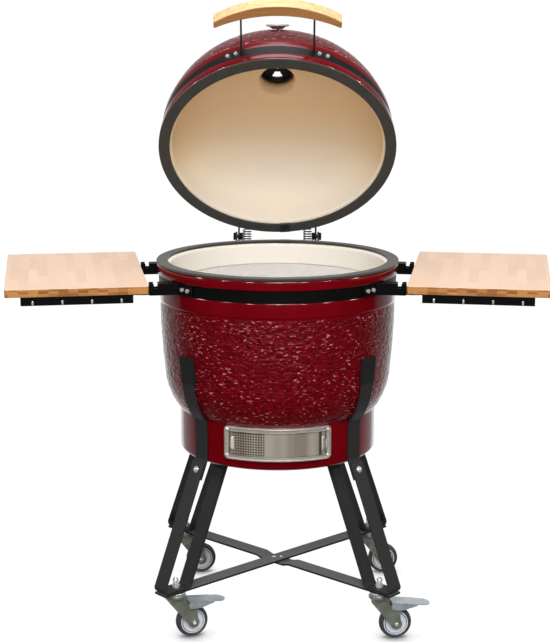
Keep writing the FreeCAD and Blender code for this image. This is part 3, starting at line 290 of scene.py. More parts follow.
def firebox_painted_shade(g, put):
    """Firebox ceramic, with painted shade: dark low down round the draft opening, fading out higher up."""
    speck = g.noise(g.coords(), 260.0, 4.0)
    height = g.math("ADD", axis_mix(g, g.coords(), 0, 0, 1), g.math("MULTIPLY", speck, 0.03))
    # painted shade: near black below about the middle of the draft opening
    low = g.ramp(g.math("MULTIPLY", g.math("SUBTRACT", height, 0.46), 6.0), (0.1, 1.0), (0.8, 0.0))
    put(Base_Color=g.mix(low, g.mix(speck, (0.62, 0.54, 0.43), (0.80, 0.72, 0.60)), (0.022, 0.015, 0.009)),
        Roughness=0.9, Specular_IOR_Level=0.1, Normal=g.bump(speck, 0.3, 0.001))


def iron(g, put):
    grain = g.noise(g.coords(), 500.0, 6.0)
    put(Base_Color=g.mix(grain, (0.008, 0.008, 0.008), (0.018, 0.018, 0.018)),
        Roughness=0.6, Specular_IOR_Level=0.3, Normal=g.bump(grain, 0.5, 0.0006))


def staves(g, put):
    """Table boards: strips from front to back, butt jointed, pale on top and darker on the sawn edges."""
    where = g.add("ShaderNodeSeparateXYZ", {0: g.coords()})
    out = g.math("ABSOLUTE", where.outputs["X"])
    forward = where.outputs["Y"]
    cos, sin = math.cos(TABLE_TURN), math.sin(TABLE_TURN)
    across = g.math("SUBTRACT", g.math("MULTIPLY", out, cos), g.math("MULTIPLY", forward, sin))
    along = g.math("ADD", g.math("MULTIPLY", out, sin), g.math("MULTIPLY", forward, cos))
    strip = g.math("FLOOR", g.math("DIVIDE", across, 0.0215))
    shift = g.add("ShaderNodeTexWhiteNoise", {"W": strip}, noise_dimensions="1D").outputs["Value"]
    block = g.math("FLOOR", g.math("ADD", g.math("DIVIDE", along, 0.17), g.math("MULTIPLY", shift, 3.0)))
    cell = g.add("ShaderNodeCombineXYZ", {"X": strip, "Y": block})
    tone = g.add("ShaderNodeTexWhiteNoise", {"Vector": cell}, noise_dimensions="3D").outputs["Value"]
    fibre_at = g.add("ShaderNodeCombineXYZ", {"X": g.math("MULTIPLY", across, 9.0), "Z": where.outputs["Z"],
                                              "Y": g.math("MULTIPLY", along, 0.5)})
    fibre = g.noise(fibre_at, 60.0, 4.0, 0.6)
    mixed = g.math("ADD", g.math("MULTIPLY", tone, 0.55), g.math("MULTIPLY", fibre, 0.45))
    top = g.ramp(mixed, (0.15, (0.66, 0.465, 0.335)), (0.5, (0.71, 0.51, 0.37)), (0.85, (0.75, 0.555, 0.405)))
    pores = g.noise(g.coords(), 420.0, 3.0)
    ply = g.add("ShaderNodeCombineXYZ", {
        "X": strip, "Y": g.math("FLOOR", g.math("DIVIDE", where.outputs["Z"], 0.0061))})
    layer = g.add("ShaderNodeTexWhiteNoise", {"Vector": ply}, noise_dimensions="3D").outputs["Value"]
    end_tone = g.math("ADD", g.math("MULTIPLY", layer, 0.6), g.math("MULTIPLY", pores, 0.4))
    end = g.ramp(end_tone, (0.2, (0.25, 0.085, 0.015)), (0.5, (0.44, 0.175, 0.04)),
                 (0.85, (0.54, 0.245, 0.066)))
    facing = g.add("ShaderNodeSeparateXYZ", {0: g.add("ShaderNodeTexCoord").outputs["Normal"]}).outputs["Z"]
    flat = g.ramp(g.math("ABSOLUTE", facing), (0.5, 0.0), (0.8, 1.0))
    put(Base_Color=g.mix(flat, end, top), Roughness=0.5, Specular_IOR_Level=0.3,
        Coat_Weight=0.1, Coat_Roughness=0.3, Normal=g.bump(fibre, 0.08, 0.0004))


def laminated(g, put):
    """The handle: thin layers that follow its length, with painted shade: darker on the faces that point down
    and forward when the lid stands open.
    """
    layers = g.noise(g.coords(scale=(1.2, 60, 60)), 4.4, 4.0, 0.65)
    pores = g.noise(g.coords(scale=(6, 60, 60)), 14.0, 2.0)
    lines = g.ramp(g.noise(g.coords(scale=(0.6, 40, 40)), 3.1, 1.0), (0.56, 0.0), (0.6, 1.0), (0.64, 0.0))
    base = g.ramp(g.math("ADD", g.math("MULTIPLY", layers, 0.7), g.math("MULTIPLY", pores, 0.3)),
                  (0.25, (0.62, 0.34, 0.13)), (0.5, (0.78, 0.52, 0.25)), (0.75, (0.88, 0.66, 0.38)))
    normal = g.add("ShaderNodeTexCoord").outputs["Normal"]
    facing = axis_mix(g, normal, 0, -math.sin(LID_OPEN), -math.cos(LID_OPEN))
    # painted shade: a darker brown on the down-facing faces
    underside_shade = g.mix(layers, (0.34, 0.115, 0.016), (0.50, 0.20, 0.04))
    base = g.mix(g.ramp(facing, (0.55, 0.0), (0.8, 0.8)), base, underside_shade)
    put(Base_Color=g.mix(g.math("MULTIPLY", lines, 0.5), base, (0.30, 0.12, 0.035)), Roughness=0.42,
        Specular_IOR_Level=0.35, Coat_Weight=0.15, Coat_Roughness=0.25, Normal=g.bump(layers, 0.06, 0.0004))


def clear(g, put):
    put(Base_Color=(0.9, 0.95, 0.95, 1), Roughness=0.03, Transmission_Weight=1.0, IOR=1.45)


def rubber(g, put):
    grain = g.noise(g.coords(), 800.0)
    put(Base_Color=g.mix(grain, (0.010, 0.011, 0.011), (0.018, 0.019, 0.019)),
        Roughness=0.38, Normal=g.bump(grain, 0.2, 0.0004))


def zinc(g, put, dark=(0.30, 0.32, 0.25), light=(0.42, 0.44, 0.36)):
    cloud = g.noise(g.coords(), 35.0, 2.0)
    put(Base_Color=g.mix(g.ramp(cloud, (0.35, 0.0), (0.65, 1.0)), dark, light), Metallic=0.6,
        Roughness=g.ramp(cloud, (0.3, 0.22), (0.7, 0.30)))


# painted reflection: a lighter, bluer copy of the zinc, the bright surroundings' reflection painted into its
# colour
def zinc_painted_reflection(g, put):
    zinc(g, put, (0.58, 0.66, 0.70), (0.70, 0.77, 0.81))


def tread(g, put):
    grain = g.noise(g.coords(), 120.0)
    put(Base_Color=g.mix(grain, (0.04, 0.036, 0.040), (0.07, 0.064, 0.070)),
        Roughness=0.55, Normal=g.bump(grain, 0.1, 0.0005))


MATERIALS = {
    "glazed_shell": material("glaze_smooth", glaze_smooth), "fire_ceramic": material("lining", lining),
    "felt": material("felt", felt), "black_steel": material("powder_coat", powder_coat),
    "bright_fasteners": material("bright_steel", bright_steel), "spring_steel": material("wire", wire),
    "stainless": material("brushed", brushed), "cast_iron": material("iron", iron),
    "bamboo": material("staves", staves), "window_glass": material("clear", clear),
    "pad_rubber": material("rubber", rubber), "zinc_plate": material("zinc", zinc),
    "wheel_plastic": material("hub_plastic", mottled(40.0, (0.60, 0.66, 0.72), (0.72, 0.77, 0.82),
                                                     Roughness=0.35)),
    "tyre_rubber": material("tread", tread),
}
PEBBLED = material("glaze_pebbled", glaze_pebbled)
LID_LINING = material("lid_lining", lid_lining)
LEG, BRACE, BAND = [material(build.__name__, build) for build in (leg_coat, brace_coat, band_paint)]
SLIDE, PAINTED_REFLECTION_ZINC = material("slide_steel", slide_steel), material("zinc_painted_reflection", zinc_painted_reflection)
BY_NODE = {
    "handle": material("laminated", laminated), "vent_frame": material("frame_steel", frame_steel),
    "vent_screen": SLIDE, "vent_door": SLIDE, "firebox": material("firebox_painted_shade", firebox_painted_shade),
    "cooking_grate": material("grate_wire", mottled(60.0, (0.50, 0.485, 0.455), (0.62, 0.605, 0.575),
                                                    Metallic=0.3, Roughness=0.35)),
    "legs_front": LEG, "legs_rear": LEG, "uprights": LEG, "brace_upper": BRACE, "brace_lower": BRACE,
    # stems and pedals take the zinc with painted reflection
    "eye_nuts": MATERIALS["bright_fasteners"], "caster_stems": PAINTED_REFLECTION_ZINC,
    "brake_pedal_front_left": PAINTED_REFLECTION_ZINC, "brake_pedal_front_right": PAINTED_REFLECTION_ZINC,
}
for banded in ("base_band", "table_brackets_left", "table_brackets_right", "table_arms_left",
               "table_arms_right", "tool_rail_left", "tool_rail_right", "hinge_bracket_base",
               "hinge_bracket_lid", "hinge_pins", "table_pins"):
    BY_NODE[banded] = BAND
SOFT_EDGES = {"felt": 0.0016, "black_steel": 0.0007, "zinc_plate": 0.0006, "stainless": 0.0004,
              "pad_rubber": 0.0035, "bright_fasteners": 0.0005}

for part in frame["record"]["subparts"]:
    node, slot = nodes[part["node"]], part["material_slot"]
    node.data.materials.clear()
    node.data.materials.append(BY_NODE.get(part["node"], MATERIALS[slot]))
    if slot in SOFT_EDGES and part["node"] not in ("cooking_grate", "vent_screen"):
        node.modifiers.new("join", "WELD").merge_threshold = 1e-6
        bevel = node.modifiers.new("edges", "BEVEL")
        bevel.width = SOFT_EDGES[slot]
        bevel.segments = 2
        bevel.limit_method = "ANGLE"
        bevel.angle_limit = math.radians(35)
        bevel.harden_normals = False
        node.modifiers.new("shade", "WEIGHTED_NORMAL")

# ---------------------------------------------------------------- mesh helpers
def link(name, mesh, body, *replaced, slot=None):
    piece = bpy.data.objects.new(name, mesh)
    scene.collection.objects.link(piece)
    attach(piece, body)
    if replaced:
        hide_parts(*replaced)
    return piece


def circle_through(a, b, c):
    (ax, ay), (bx, by), (cx, cy) = a, b, c
    d = 2 * (ax * (by - cy) + bx * (cy - ay) + cx * (ay - by))
    sa, sb, sc = ax * ax + ay * ay, bx * bx + by * by, cx * cx + cy * cy
    ux = (sa * (by - cy) + sb * (cy - ay) + sc * (ay - by)) / d
    uy = (sa * (cx - bx) + sb * (ax - cx) + sc * (bx - ax)) / d
    return ux, uy, math.hypot(ax - ux, ay - uy)


def arc(a, b, c, count):
    """Evenly spaced points on the arc from a through b to c."""
    ux, uy, radius = circle_through(a, b, c)
    t0, t1, t2 = [math.atan2(p[1] - uy, p[0] - ux) for p in (a, b, c)]
    turn = math.tau if (t1 - t0) % math.tau > (t2 - t0) % math.tau else 0.0
    sweep = (t2 - t0) % math.tau - turn
    return [(ux + radius * math.cos(t0 + sweep * k / count), uy + radius * math.sin(t0 + sweep * k / count))
            for k in range(count + 1)]


def straight(a, b, count):
    return [(a[0] + (b[0] - a[0]) * k / count, a[1] + (b[1] - a[1]) * k / count) for k in range(count + 1)]


def pebble(x, y, z):
    """Hammered glaze: the height of its dimples at a point, about -1 to 1."""
    coarse = noise.noise(Vector((x * 70, y * 70, z * 105)))
    wave = noise.noise(Vector((x * 135 + 7, y * 135, z * 190)))
    return 0.7 * coarse + 0.35 * wave


def lathe(profile, segments, relief_depth=0.0):
    """Vertices [ring][segment] of a profile of (radius, height, relief) turned round +Z, from the front."""
    rings = []
    for i, (r, z, relief) in enumerate(profile):
        r0, z0, _ = profile[max(i - 1, 0)]
        r1, z1, _ = profile[min(i + 1, len(profile) - 1)]
        length = math.hypot(r1 - r0, z1 - z0) or 1.0
        nr, nz = (z1 - z0) / length, -(r1 - r0) / length
        ring = []
        for k in range(segments):
            a = math.tau * k / segments
            s, c = math.sin(a), -math.cos(a)
            d = relief * relief_depth * pebble(r * s, r * c, z) if relief else 0.0
            ring.append(((r + d * nr) * s, (r + d * nr) * c, z + d * nz))
        rings.append(ring)
    return rings


def skin(name, rings, paints, palette, wrap=False, hole=None):
    """A mesh over lathe rings. hole = (outer ring, inner ring, half width in segments) cuts a window
    through a wall between each of those rings and the one after it, its sides in the palette's slot 3."""
    count = len(rings[0])
    verts = [v for ring in rings for v in ring]
    faces, shades = [], []
    last = len(rings) if wrap else len(rings) - 1
    for i in range(last):
        j = (i + 1) % len(rings)
        for k in range(count):
            n = (k + 1) % count
            if hole and i in hole[:2] and (k < hole[2] or k >= count - hole[2]):
                continue
            faces.append((i * count + k, i * count + n, j * count + n, j * count + k))
            shades.append(paints[i])
    if not wrap:
        for i, flip in ((0, True), (len(rings) - 1, False)):
            centre = len(verts)
            verts.append((0.0, 0.0, rings[i][0][2]))
            for k in range(count):
                n = (k + 1) % count
                a, b = i * count + k, i * count + n
                faces.append((centre, b, a) if flip else (centre, a, b))
                shades.append(paints[i])
    if hole:
        outer, inner, half = hole
        for k in range(-half, half):
            a, b = k % count, (k + 1) % count
            for o, n, flip in ((outer, inner + 1, True), (outer + 1, inner, False)):
                quad = (o * count + a, o * count + b, n * count + b, n * count + a)
                faces.append(quad[::-1] if flip else quad)
                shades.append(3)
        for k, flip in ((-half, False), (half, True)):
            k %= count
            quad = (outer * count + k, (outer + 1) * count + k, inner * count + k, (inner + 1) * count + k)
            faces.append(quad[::-1] if flip else quad)
            shades.append(3)
    mesh = bpy.data.meshes.new(name)
    mesh.from_pydata(verts, [], faces)
    for mat in palette:
        mesh.materials.append(mat)
    mesh.polygons.foreach_set("material_index", shades)
    mesh.polygons.foreach_set("use_smooth", [True] * len(faces))
    mesh.validate()
    mesh.update()
    return mesh


# ---------------------------------------------------------------- ceramic bowl and lid
SEGMENTS = 720
DATUM = Matrix.Translation((0, 0, 0.008))      # the body's heights are measured from here, as in the CAD
HINGE = Vector((0, 0.305, 0.868))
LID_TILT = Matrix.Translation(HINGE) @ Matrix.Rotation(-LID_OPEN, 4, "X") @ Matrix.Translation(-HINGE)
RIM_TOP = 855.7                       # the lid's ring plane when closed
PEBBLE_DEPTH = 1.1 * MM
PEBBLE_FADE = 9.0


def textured(points, fade_in=True, fade_out=True):
    """(radius, height, relief) along a textured run, with the relief dying away at its ends."""
    travelled = [0.0]
    for p, q in zip(points, points[1:]):
        travelled.append(travelled[-1] + math.dist(p, q))
    out = []
    for (r, z), s in zip(points, travelled):
        weight = 1.0
        if fade_in:
            weight = min(weight, s / PEBBLE_FADE)
        if fade_out:
            weight = min(weight, (travelled[-1] - s) / PEBBLE_FADE)
        out.append((r, z, max(weight, 0.0)))
    return out


def plain(points):
    return [(r, z, 0.0) for r, z in points]


def bowl_mesh():
    low = arc((237.3, 509.0), (254.9, 540.0), (267.5, 598.0), 36)
    high = arc((267.5, 598.0), (274.4, 681.0), (276.6, 762.0), 60)
    outside = plain([(120, 402), (222, 402)] + arc((222.8, 402), (229.87, 404.93), (232.8, 412), 6)
                    + [(232.8, 436), (232.8, 486)] + straight((232.8, 490), (232.8, 501), 2)
                    + arc((232.8, 502.5), (233.9, 506.5), (236.6, 508.4), 4))
    outside += textured(low[1:] + high[1:])
    outside += plain(arc((276.9, 764), (277.6, 764.8), (277.9, 767), 3)
                     + straight((278.0, 770), (277.9, 792), 4)
                     + arc((277.8, 794), (277.4, 797.4), (276.4, 799.0), 4))
    outside += plain([(276.4, 812), (276.4, 826.2)] + arc((280.5, 826.6), (282.8, 827.6), (283.5, 830.5), 4)
                     + straight((283.6, 834), (283.6, 842), 3)
                     + arc((283.5, 845.4), (282.3, 848.2), (279.5, 849.4), 5))
    inside = plain([(270, 849.4), (258.6, 849.4)] + arc((257.6, 849.4), (253.5, 847.4), (252, 843.4), 4)
                   + straight((252, 838), (252, 660), 10) + arc((252, 650), (239, 570), (208, 500), 14)
                   + [(207.5, 486), (206.3, 436), (203, 431.5), (200, 430), (100, 430)])
    profile = outside + inside
    rings = lathe([(r * MM, z * MM, w) for r, z, w in profile], SEGMENTS, PEBBLE_DEPTH)
    paints = [2 if r > 0 else 0 for _, _, r in outside[1:]] + [1] * (len(inside) + 1)
    heights = [p[1] for p in profile]
    window = (heights.index(436), len(outside) + [p[1] for p in inside].index(486), 49)
    palette = [MATERIALS["glazed_shell"], MATERIALS["fire_ceramic"], PEBBLED, BY_NODE["firebox"]]
    mesh = skin("bowl", rings, paints, palette, hole=window)
    mesh.transform(DATUM)
    return mesh


def dome_run(radius, apex, start, end_radius, count):
    """Points up a dome, from a height above the ring plane to a radius, in equal steps along it."""
    power = 2.0 / 1.88
    t0 = math.asin(((start - 50.0) / (apex - 50.0)) ** (1 / power))
    t1 = math.acos((end_radius / radius) ** (1 / power))
    return [(radius * math.cos(t) ** power, RIM_TOP + 50.0 + (apex - 50.0) * math.sin(t) ** power)
            for t in (t0 + (t1 - t0) * k / count for k in range(count + 1))]


def lid_mesh():
    z = RIM_TOP
    shoulder = dome_run(277.0, 283.0, 75.0, 88.0, 130)
    outside = plain([(258.6, z + 6), (270, z + 6)] + arc((279.5, z + 6), (282.3, z + 7.2), (283.5, z + 10), 4)
                    + straight((283.6, z + 13), (283.6, z + 21), 3)
                    + arc((283.5, z + 24.4), (282.6, z + 26.6), (280.5, z + 27.1), 4)
                    + [(276.4, z + 27.4), (276.4, z + 40), (276.4, z + 53.8)]
                    + arc((277.0, z + 54.6), (277.7, z + 55.6), (277.9, z + 58), 3)
                    + straight((278.0, z + 60), (277.9, z + 69), 3)
                    + arc((277.9, z + 71), (277.6, z + 73), (277.0, z + 74.4), 3))
    outside += textured(shoulder[1:])
    outside += plain(arc((86, shoulder[-1][1] + 0.9), (69, z + 278), (62, z + 292), 10)[1:]
                     + [(62, z + 298), (60.5, z + 300)])
    inside = plain([(44, z + 300)] + dome_run(252.0, 258.0, 56.0, 44.0, 40)[::-1]
                   + straight((252, z + 40), (252, z + 12), 3)
                   + arc((252, z + 11), (253.5, z + 8), (257.5, z + 6.2), 3))
    rings = lathe([(r * MM, h * MM, w) for r, h, w in outside + inside], SEGMENTS, PEBBLE_DEPTH)
    paints = [2 if r > 0 else 0 for _, _, r in outside[1:]] + [1] * (len(inside) + 1)
    paints[0] = 1
    mesh = skin("lid", rings, paints, [MATERIALS["glazed_shell"], LID_LINING, PEBBLED], wrap=True)
    mesh.transform(LID_TILT @ DATUM)
    return mesh


link("ceramic_bowl", bowl_mesh(), "base", "base_shell", slot="glazed_shell")
link("ceramic_lid", lid_mesh(), "lid", "lid_shell", slot="glazed_shell")

# ---------------------------------------------------------------- wire, domes and small turned parts
def wire_mesh(name, points, radius, sides=10, closed=False):
    """A round wire along a line of points."""
    count = len(points)
    verts, side = [], None
    for i, p in enumerate(points):
        before = points[(i - 1) % count] if closed else points[max(i - 1, 0)]
        after = points[(i + 1) % count] if closed else points[min(i + 1, count - 1)]
        run = (after - before).normalized()
        side = run.orthogonal() if side is None else side
        side = (side - run * side.dot(run)).normalized()
        up = run.cross(side)
        verts += [p + (side * math.cos(math.tau * k / sides) + up * math.sin(math.tau * k / sides)) * radius
                  for k in range(sides)]
    faces = []
    for i in range(count if closed else count - 1):
        j = (i + 1) % count
        for k in range(sides):
            n = (k + 1) % sides
            faces.append((i * sides + k, i * sides + n, j * sides + n, j * sides + k))
    if not closed:
        faces += [tuple(range(sides))[::-1], tuple((count - 1) * sides + k for k in range(sides))]
    mesh = bpy.data.meshes.new(name)
    mesh.from_pydata(verts, [], faces)
    mesh.polygons.foreach_set("use_smooth", [True] * len(faces))
    return mesh


def turned(name, profile, palette, paints=None, sides=96):
    """A closed profile of (radius, height) in millimetres, turned round +Z."""
    rings = lathe([(r * MM, z * MM, 0.0) for r, z in profile], sides)
    return skin(name, rings, paints or [0] * len(rings), palette, wrap=True)


def sector_mesh(name, r0, r1, z0, z1, azimuth0, azimuth1, steps=12):
    """A curved block round +Z, in millimetres."""
    verts, faces = [], []
    for k in range(steps + 1):
        a = math.radians(azimuth0 + (azimuth1 - azimuth0) * k / steps)
        verts += [(r * MM * math.sin(a), -r * MM * math.cos(a), z * MM)
                  for r, z in ((r0, z0), (r1, z0), (r1, z1), (r0, z1))]
    for k in range(steps):
        for c in range(4):
            d = (c + 1) % 4
            faces.append((k * 4 + c, k * 4 + d, (k + 1) * 4 + d, (k + 1) * 4 + c))
    faces += [(3, 2, 1, 0), tuple(steps * 4 + c for c in range(4))]
    mesh = bpy.data.meshes.new(name)
    mesh.from_pydata(verts, [], faces)
    return mesh


def split_edges(piece, degrees):
    """Creases sharper than the angle stay crisp under smooth shading."""
    piece.modifiers.new("shade", "EDGE_SPLIT").split_angle = math.radians(degrees)


def painted(mesh, mat):
    mesh.materials.clear()
    mesh.materials.append(mat)
    return mesh


# ---------------------------------------------------------------- hinge springs
LOW_ROD = Vector((0, 0.335, 0.803))
HIGH_ROD = Vector((0, 0.33205, 0.8934))
HOOK_R = 0.0057


def spring_points(x):
    """A close coil with a hook round each rod."""
    low, high = LOW_ROD + Vector((x, 0, 0)), HIGH_ROD + Vector((x, 0, 0))
    up = (high - low).normalized()
    across, back = Vector((1, 0, 0)), up.cross(Vector((1, 0, 0)))
    length = (high - low).length
    start, end, turns = 0.0095, length - 0.0095, 11.5
    points = []
    for k in range(15):                                       # hook round the low rod
        a = math.radians(-150 + 240 * k / 14)
        points.append(low + (back * math.sin(a) + up * math.cos(a)) * HOOK_R)
    points.append(low + up * (start - 0.002) + back * 0.004)
    steps = int(turns * 24)
    for k in range(steps + 1):
        a = math.tau * turns * k / steps
        t = start + (end - start) * k / steps
        reach = 0.010 * min(1.0, 0.45 + k / 16, 0.45 + (steps - k) / 16)
        points.append(low + up * t + (back * math.cos(a) + across * math.sin(a)) * reach)
    points.append(low + up * (end + 0.002) - back * 0.004)
    for k in range(15):                                       # and round the high one
        a = math.radians(-90 - 240 * k / 14)
        points.append(high + (back * math.sin(a) - up * math.cos(a)) * HOOK_R)
    return points


for side, x in (("left", -0.0775), ("right", 0.0775)):
    turns = painted(wire_mesh("spring", spring_points(x), 0.0015), MATERIALS["spring_steel"])
    coil = bpy.data.objects.new("spring_" + side, turns)
    scene.collection.objects.link(coil)
    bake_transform(coil)
    if side == "left":
        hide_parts("hinge_springs")

# ---------------------------------------------------------------- felt seams at the back of both rims
for name, body, z0, z1, place in (("bowl_felt_seam", "base", 849.2, 855.5, DATUM),
                                  ("lid_felt_seam", "lid", 855.6, 862.2, LID_TILT @ DATUM)):
    seam = painted(sector_mesh(name, 257.9, 285.7, z0, z1, 173.2, 178.6), MATERIALS["pad_rubber"])
    seam.transform(place)
    piece = link(name, seam, body, slot="felt")
    soft = piece.modifiers.new("edges", "BEVEL")
    soft.width = 0.0009
    soft.segments = 2

# ---------------------------------------------------------------- wheels
TYRE = ([(29.2, -9.5), (29.2, 9.5)] + arc((30.2, 11.2), (33.4, 11.6), (35.6, 9.6), 8)
        + arc((36.6, 8.2), (38.1, 0.0), (36.6, -8.2), 14)
        + arc((35.6, -9.6), (33.4, -11.6), (30.2, -11.2), 8))
HUB_HALF = [(4.2, 14.4), (8.2, 14.4), (9.0, 13.6), (9.4, 10.2), (12.5, 8.6), (22.5, 9.4), (24.6, 10.2),
            (25.1, 8.4), (26.2, 8.4), (26.7, 11.0), (28.9, 10.8), (29.15, 9.0)]
HUB = HUB_HALF + [(r, -y) for r, y in HUB_HALF[::-1]]
# painted shade: a dark material for the hub's groove
GROOVE_SHADE = material("groove", mottled(90.0, (0.05, 0.05, 0.055), (0.09, 0.09, 0.1), Roughness=0.7))
GROOVE_RINGS = (6, 7)                 # where the hub's profile dips into its groove, painted dark as painted shade, on either side
AXLE_CAP_SEAT = 0.0214                # from the wheel's middle to the outside of its fork
# azimuth of each caster's stem and heading of its wheel, in degrees
STEMS = {"front_left": (-48, 22), "front_right": (48, 8), "rear_left": (-132, 6), "rear_right": (132, 4)}
for where, (azimuth, heading) in STEMS.items():
    a = math.radians(azimuth)
    axle = (Matrix.Translation((STEM_RADIUS * math.sin(a), -STEM_RADIUS * math.cos(a), 0))
            @ Matrix.Rotation(math.radians(heading), 4, "Z") @ Matrix.Translation((TRAIL, 0, WHEEL_RADIUS)))
    groove = [1 if i in GROOVE_RINGS or len(HUB) - 2 - i in GROOVE_RINGS else 0 for i in range(len(HUB))]
    for name, node, mesh, slot in (
            ("tyre_skin_", "tyre_", turned("tyre", TYRE, [MATERIALS["tyre_rubber"]]), "tyre_rubber"),
            ("hub_", "wheel_core_", turned("hub", HUB, [MATERIALS["wheel_plastic"], GROOVE_SHADE], groove),
             "wheel_plastic")):
        mesh.transform(axle @ Matrix.Rotation(math.radians(-90), 4, "X"))
        split_edges(link(name + where, mesh, "wheel_" + where, node + where, slot=slot), 40)

    for k, turn in enumerate((90, -90)):
        cap = turned("axle_cap", [(0.3, 0.0), (5.2, 0.0), (5.2, 1.0), (4.2, 2.2), (2.2, 3.0), (0.3, 3.2)],
                     [MATERIALS["bright_fasteners"]], sides=28)
        cap.transform(axle @ Matrix.Rotation(math.radians(turn), 4, "X")
                      @ Matrix.Translation((0, 0, AXLE_CAP_SEAT)))
        link("axle_cap_%s_%d" % (where, k), cap, "caster_" + where, slot="bright_fasteners")

# ---------------------------------------------------------------- draft opening: rolled rim and screw heads
def on_foot(x, z, radius):
    return Vector((x * MM, -math.sqrt(radius ** 2 - x ** 2) * MM, z * MM + 0.008))


def rounded_rim(half, z0, z1, corner, radius):
    """Points round a rectangle with round corners, wrapped on the foot."""
    points = []
    for cx, cz, start in ((half - corner, z1 - corner, 0), (corner - half, z1 - corner, 90),
                          (corner - half, z0 + corner, 180), (half - corner, z0 + corner, 270)):
        for k in range(9):
            a = math.radians(start + 90 * k / 8)
            points.append((cx + corner * math.cos(a), cz + corner * math.sin(a)))
    out = []
    for (x0, za), (x1, zb) in zip(points, points[1:] + points[:1]):
        count = max(1, int(abs(x1 - x0) / 6))
        out += [on_foot(x0 + (x1 - x0) * k / count, za + (zb - za) * k / count, radius) for k in range(count)]
    return out


for name, half, z0, z1, corner, radius, thick in (("vent_rim", 119.6, 428.4, 500.6, 8.5, 239.3, 2.3),
                                                  ("vent_window_edge", 110.6, 435.4, 493.6, 5.0, 239.2, 0.9)):
    rim = wire_mesh(name, rounded_rim(half, z0, z1, corner, radius), thick * MM, closed=True)
    link(name, painted(rim, MATERIALS["stainless"]), "base", slot="stainless")

SCREW_HEAD = [(0.3, 0.0), (5.4, 0.0), (5.5, 0.7), (4.9, 1.7), (3.4, 2.6), (1.6, 3.0), (0.3, 3.05)]
for azimuth in (-28.9, 28.9):
    for z in (434.0, 495.0):
        right, upper = azimuth > 0, z > VENT_MIDDLE / MM
        head = turned("vent_head", SCREW_HEAD, [MATERIALS["bright_fasteners"]], sides=32)
        head.transform(DATUM @ Matrix.Rotation(math.radians(azimuth), 4, "Z")
                       @ Matrix.Translation((0, -0.2393, z * MM)) @ Matrix.Rotation(math.radians(90), 4, "X"))
        screws = ["vent_frame_screws"] if right and upper else []      # one node holds all four
        link("vent_head_%d_%d" % (right, upper), head, "base", *screws, slot="bright_fasteners")


def lip_mesh(name, r0, azimuth0, turn):
    """A pressed finger lip: a crescent that lifts off its slide."""
    rows, cols = 16, 8
    verts, faces = [], []
    for back in (0.0, 0.8):
        for i in range(rows + 1):
            u = 2 * i / rows - 1
            for j in range(cols + 1):
                v = j / cols
                swell = math.sqrt(max(0.0, 1 - u * u))
                r = r0 - back + 6.6 * swell * math.sin(v * math.pi / 2)
                a = math.radians(azimuth0 + turn * v * (0.25 + 0.75 * swell))
                verts.append((r * MM * math.sin(a), -r * MM * math.cos(a), (464.5 + 16.0 * u) * MM + 0.008))
    step, sheet = cols + 1, (rows + 1) * (cols + 1)
    for i in range(rows):
        for j in range(cols):
            a = i * step + j
            faces += [(a, a + 1, a + step + 1, a + step),
                      (a + sheet, a + sheet + step, a + sheet + step + 1, a + sheet + 1)]
    for i in range(rows):
        for j in (0, cols):
            a = i * step + j
            faces.append((a, a + step, a + step + sheet, a + sheet))
    mesh = bpy.data.meshes.new(name)
    mesh.from_pydata(verts, [], faces)
    mesh.polygons.foreach_set("use_smooth", [True] * len(faces))
    mesh.materials.append(material(name, mottled(120.0, (0.62, 0.57, 0.49), (0.74, 0.69, 0.61),
                                                 Metallic=0.2, Roughness=0.35)))
    return mesh


def hole_shade_mesh():
    """Painted shade: dark squares over the screen's round holes, a little larger than they are, for the dark
    inside seen through them.
    """
    verts, faces = [], []
    for i in range(19):
        for j in range(9):
            azimuth, z = -25.2 + 1.4666 * i, 472.5 + 6.0 * (j - 4)
            for da, dz in ((-0.43, -1.75), (0.43, -1.75), (0.43, 1.75), (-0.43, 1.75)):
                a = math.radians(azimuth + da)
                verts.append((0.23572 * math.sin(a), -0.23572 * math.cos(a), (z + dz) * MM))
            faces.append(tuple(range(len(verts) - 4, len(verts))))
    mesh = bpy.data.meshes.new("holes")
    mesh.from_pydata(verts, [], faces)
    mesh.materials.append(material("hole_shade", mottled(400.0, (0.028, 0.017, 0.010), (0.05, 0.032, 0.02),
                                                         Roughness=1.0, Specular_IOR_Level=0.0)))
    return mesh


# painted shade behind the screen's holes
link("screen_hole_shade", hole_shade_mesh(), "vent_screen_slide", slot="stainless")
link("door_lip", lip_mesh("door_lip", 237.8, 24.9, 2.4), "vent_door_slide", slot="stainless")
link("screen_lip", lip_mesh("screen_lip", 236.0, -24.9, -2.4), "vent_screen_slide", slot="stainless")

# ---------------------------------------------------------------- thermometer
SEAT = (LID_TILT @ DATUM @ Matrix.Translation((0, -0.226, 1.0323))
        @ Matrix.Rotation(math.radians(50.3), 4, "X"))
CASE = [(0.4, -68), (3, -68), (3, 0.6), (11, 0.6), (13, 1.6), (20, 6.6), (25.4, 7.0), (27.1, 7.9),
        (27.5, 9.4), (27.0, 10.9), (25.8, 11.6), (24.7, 11.3), (24.4, 9.0), (0.4, 9.0)]
case = turned("thermometer", CASE, [MATERIALS["stainless"]])
case.transform(SEAT)
split_edges(link("thermometer_body", case, "lid", "thermometer_case", slot="stainless"), 45)


def disc(radius, count):
    angles = [math.tau * k / count for k in range(count)]
    return [(radius * math.cos(t), radius * math.sin(t)) for t in angles]


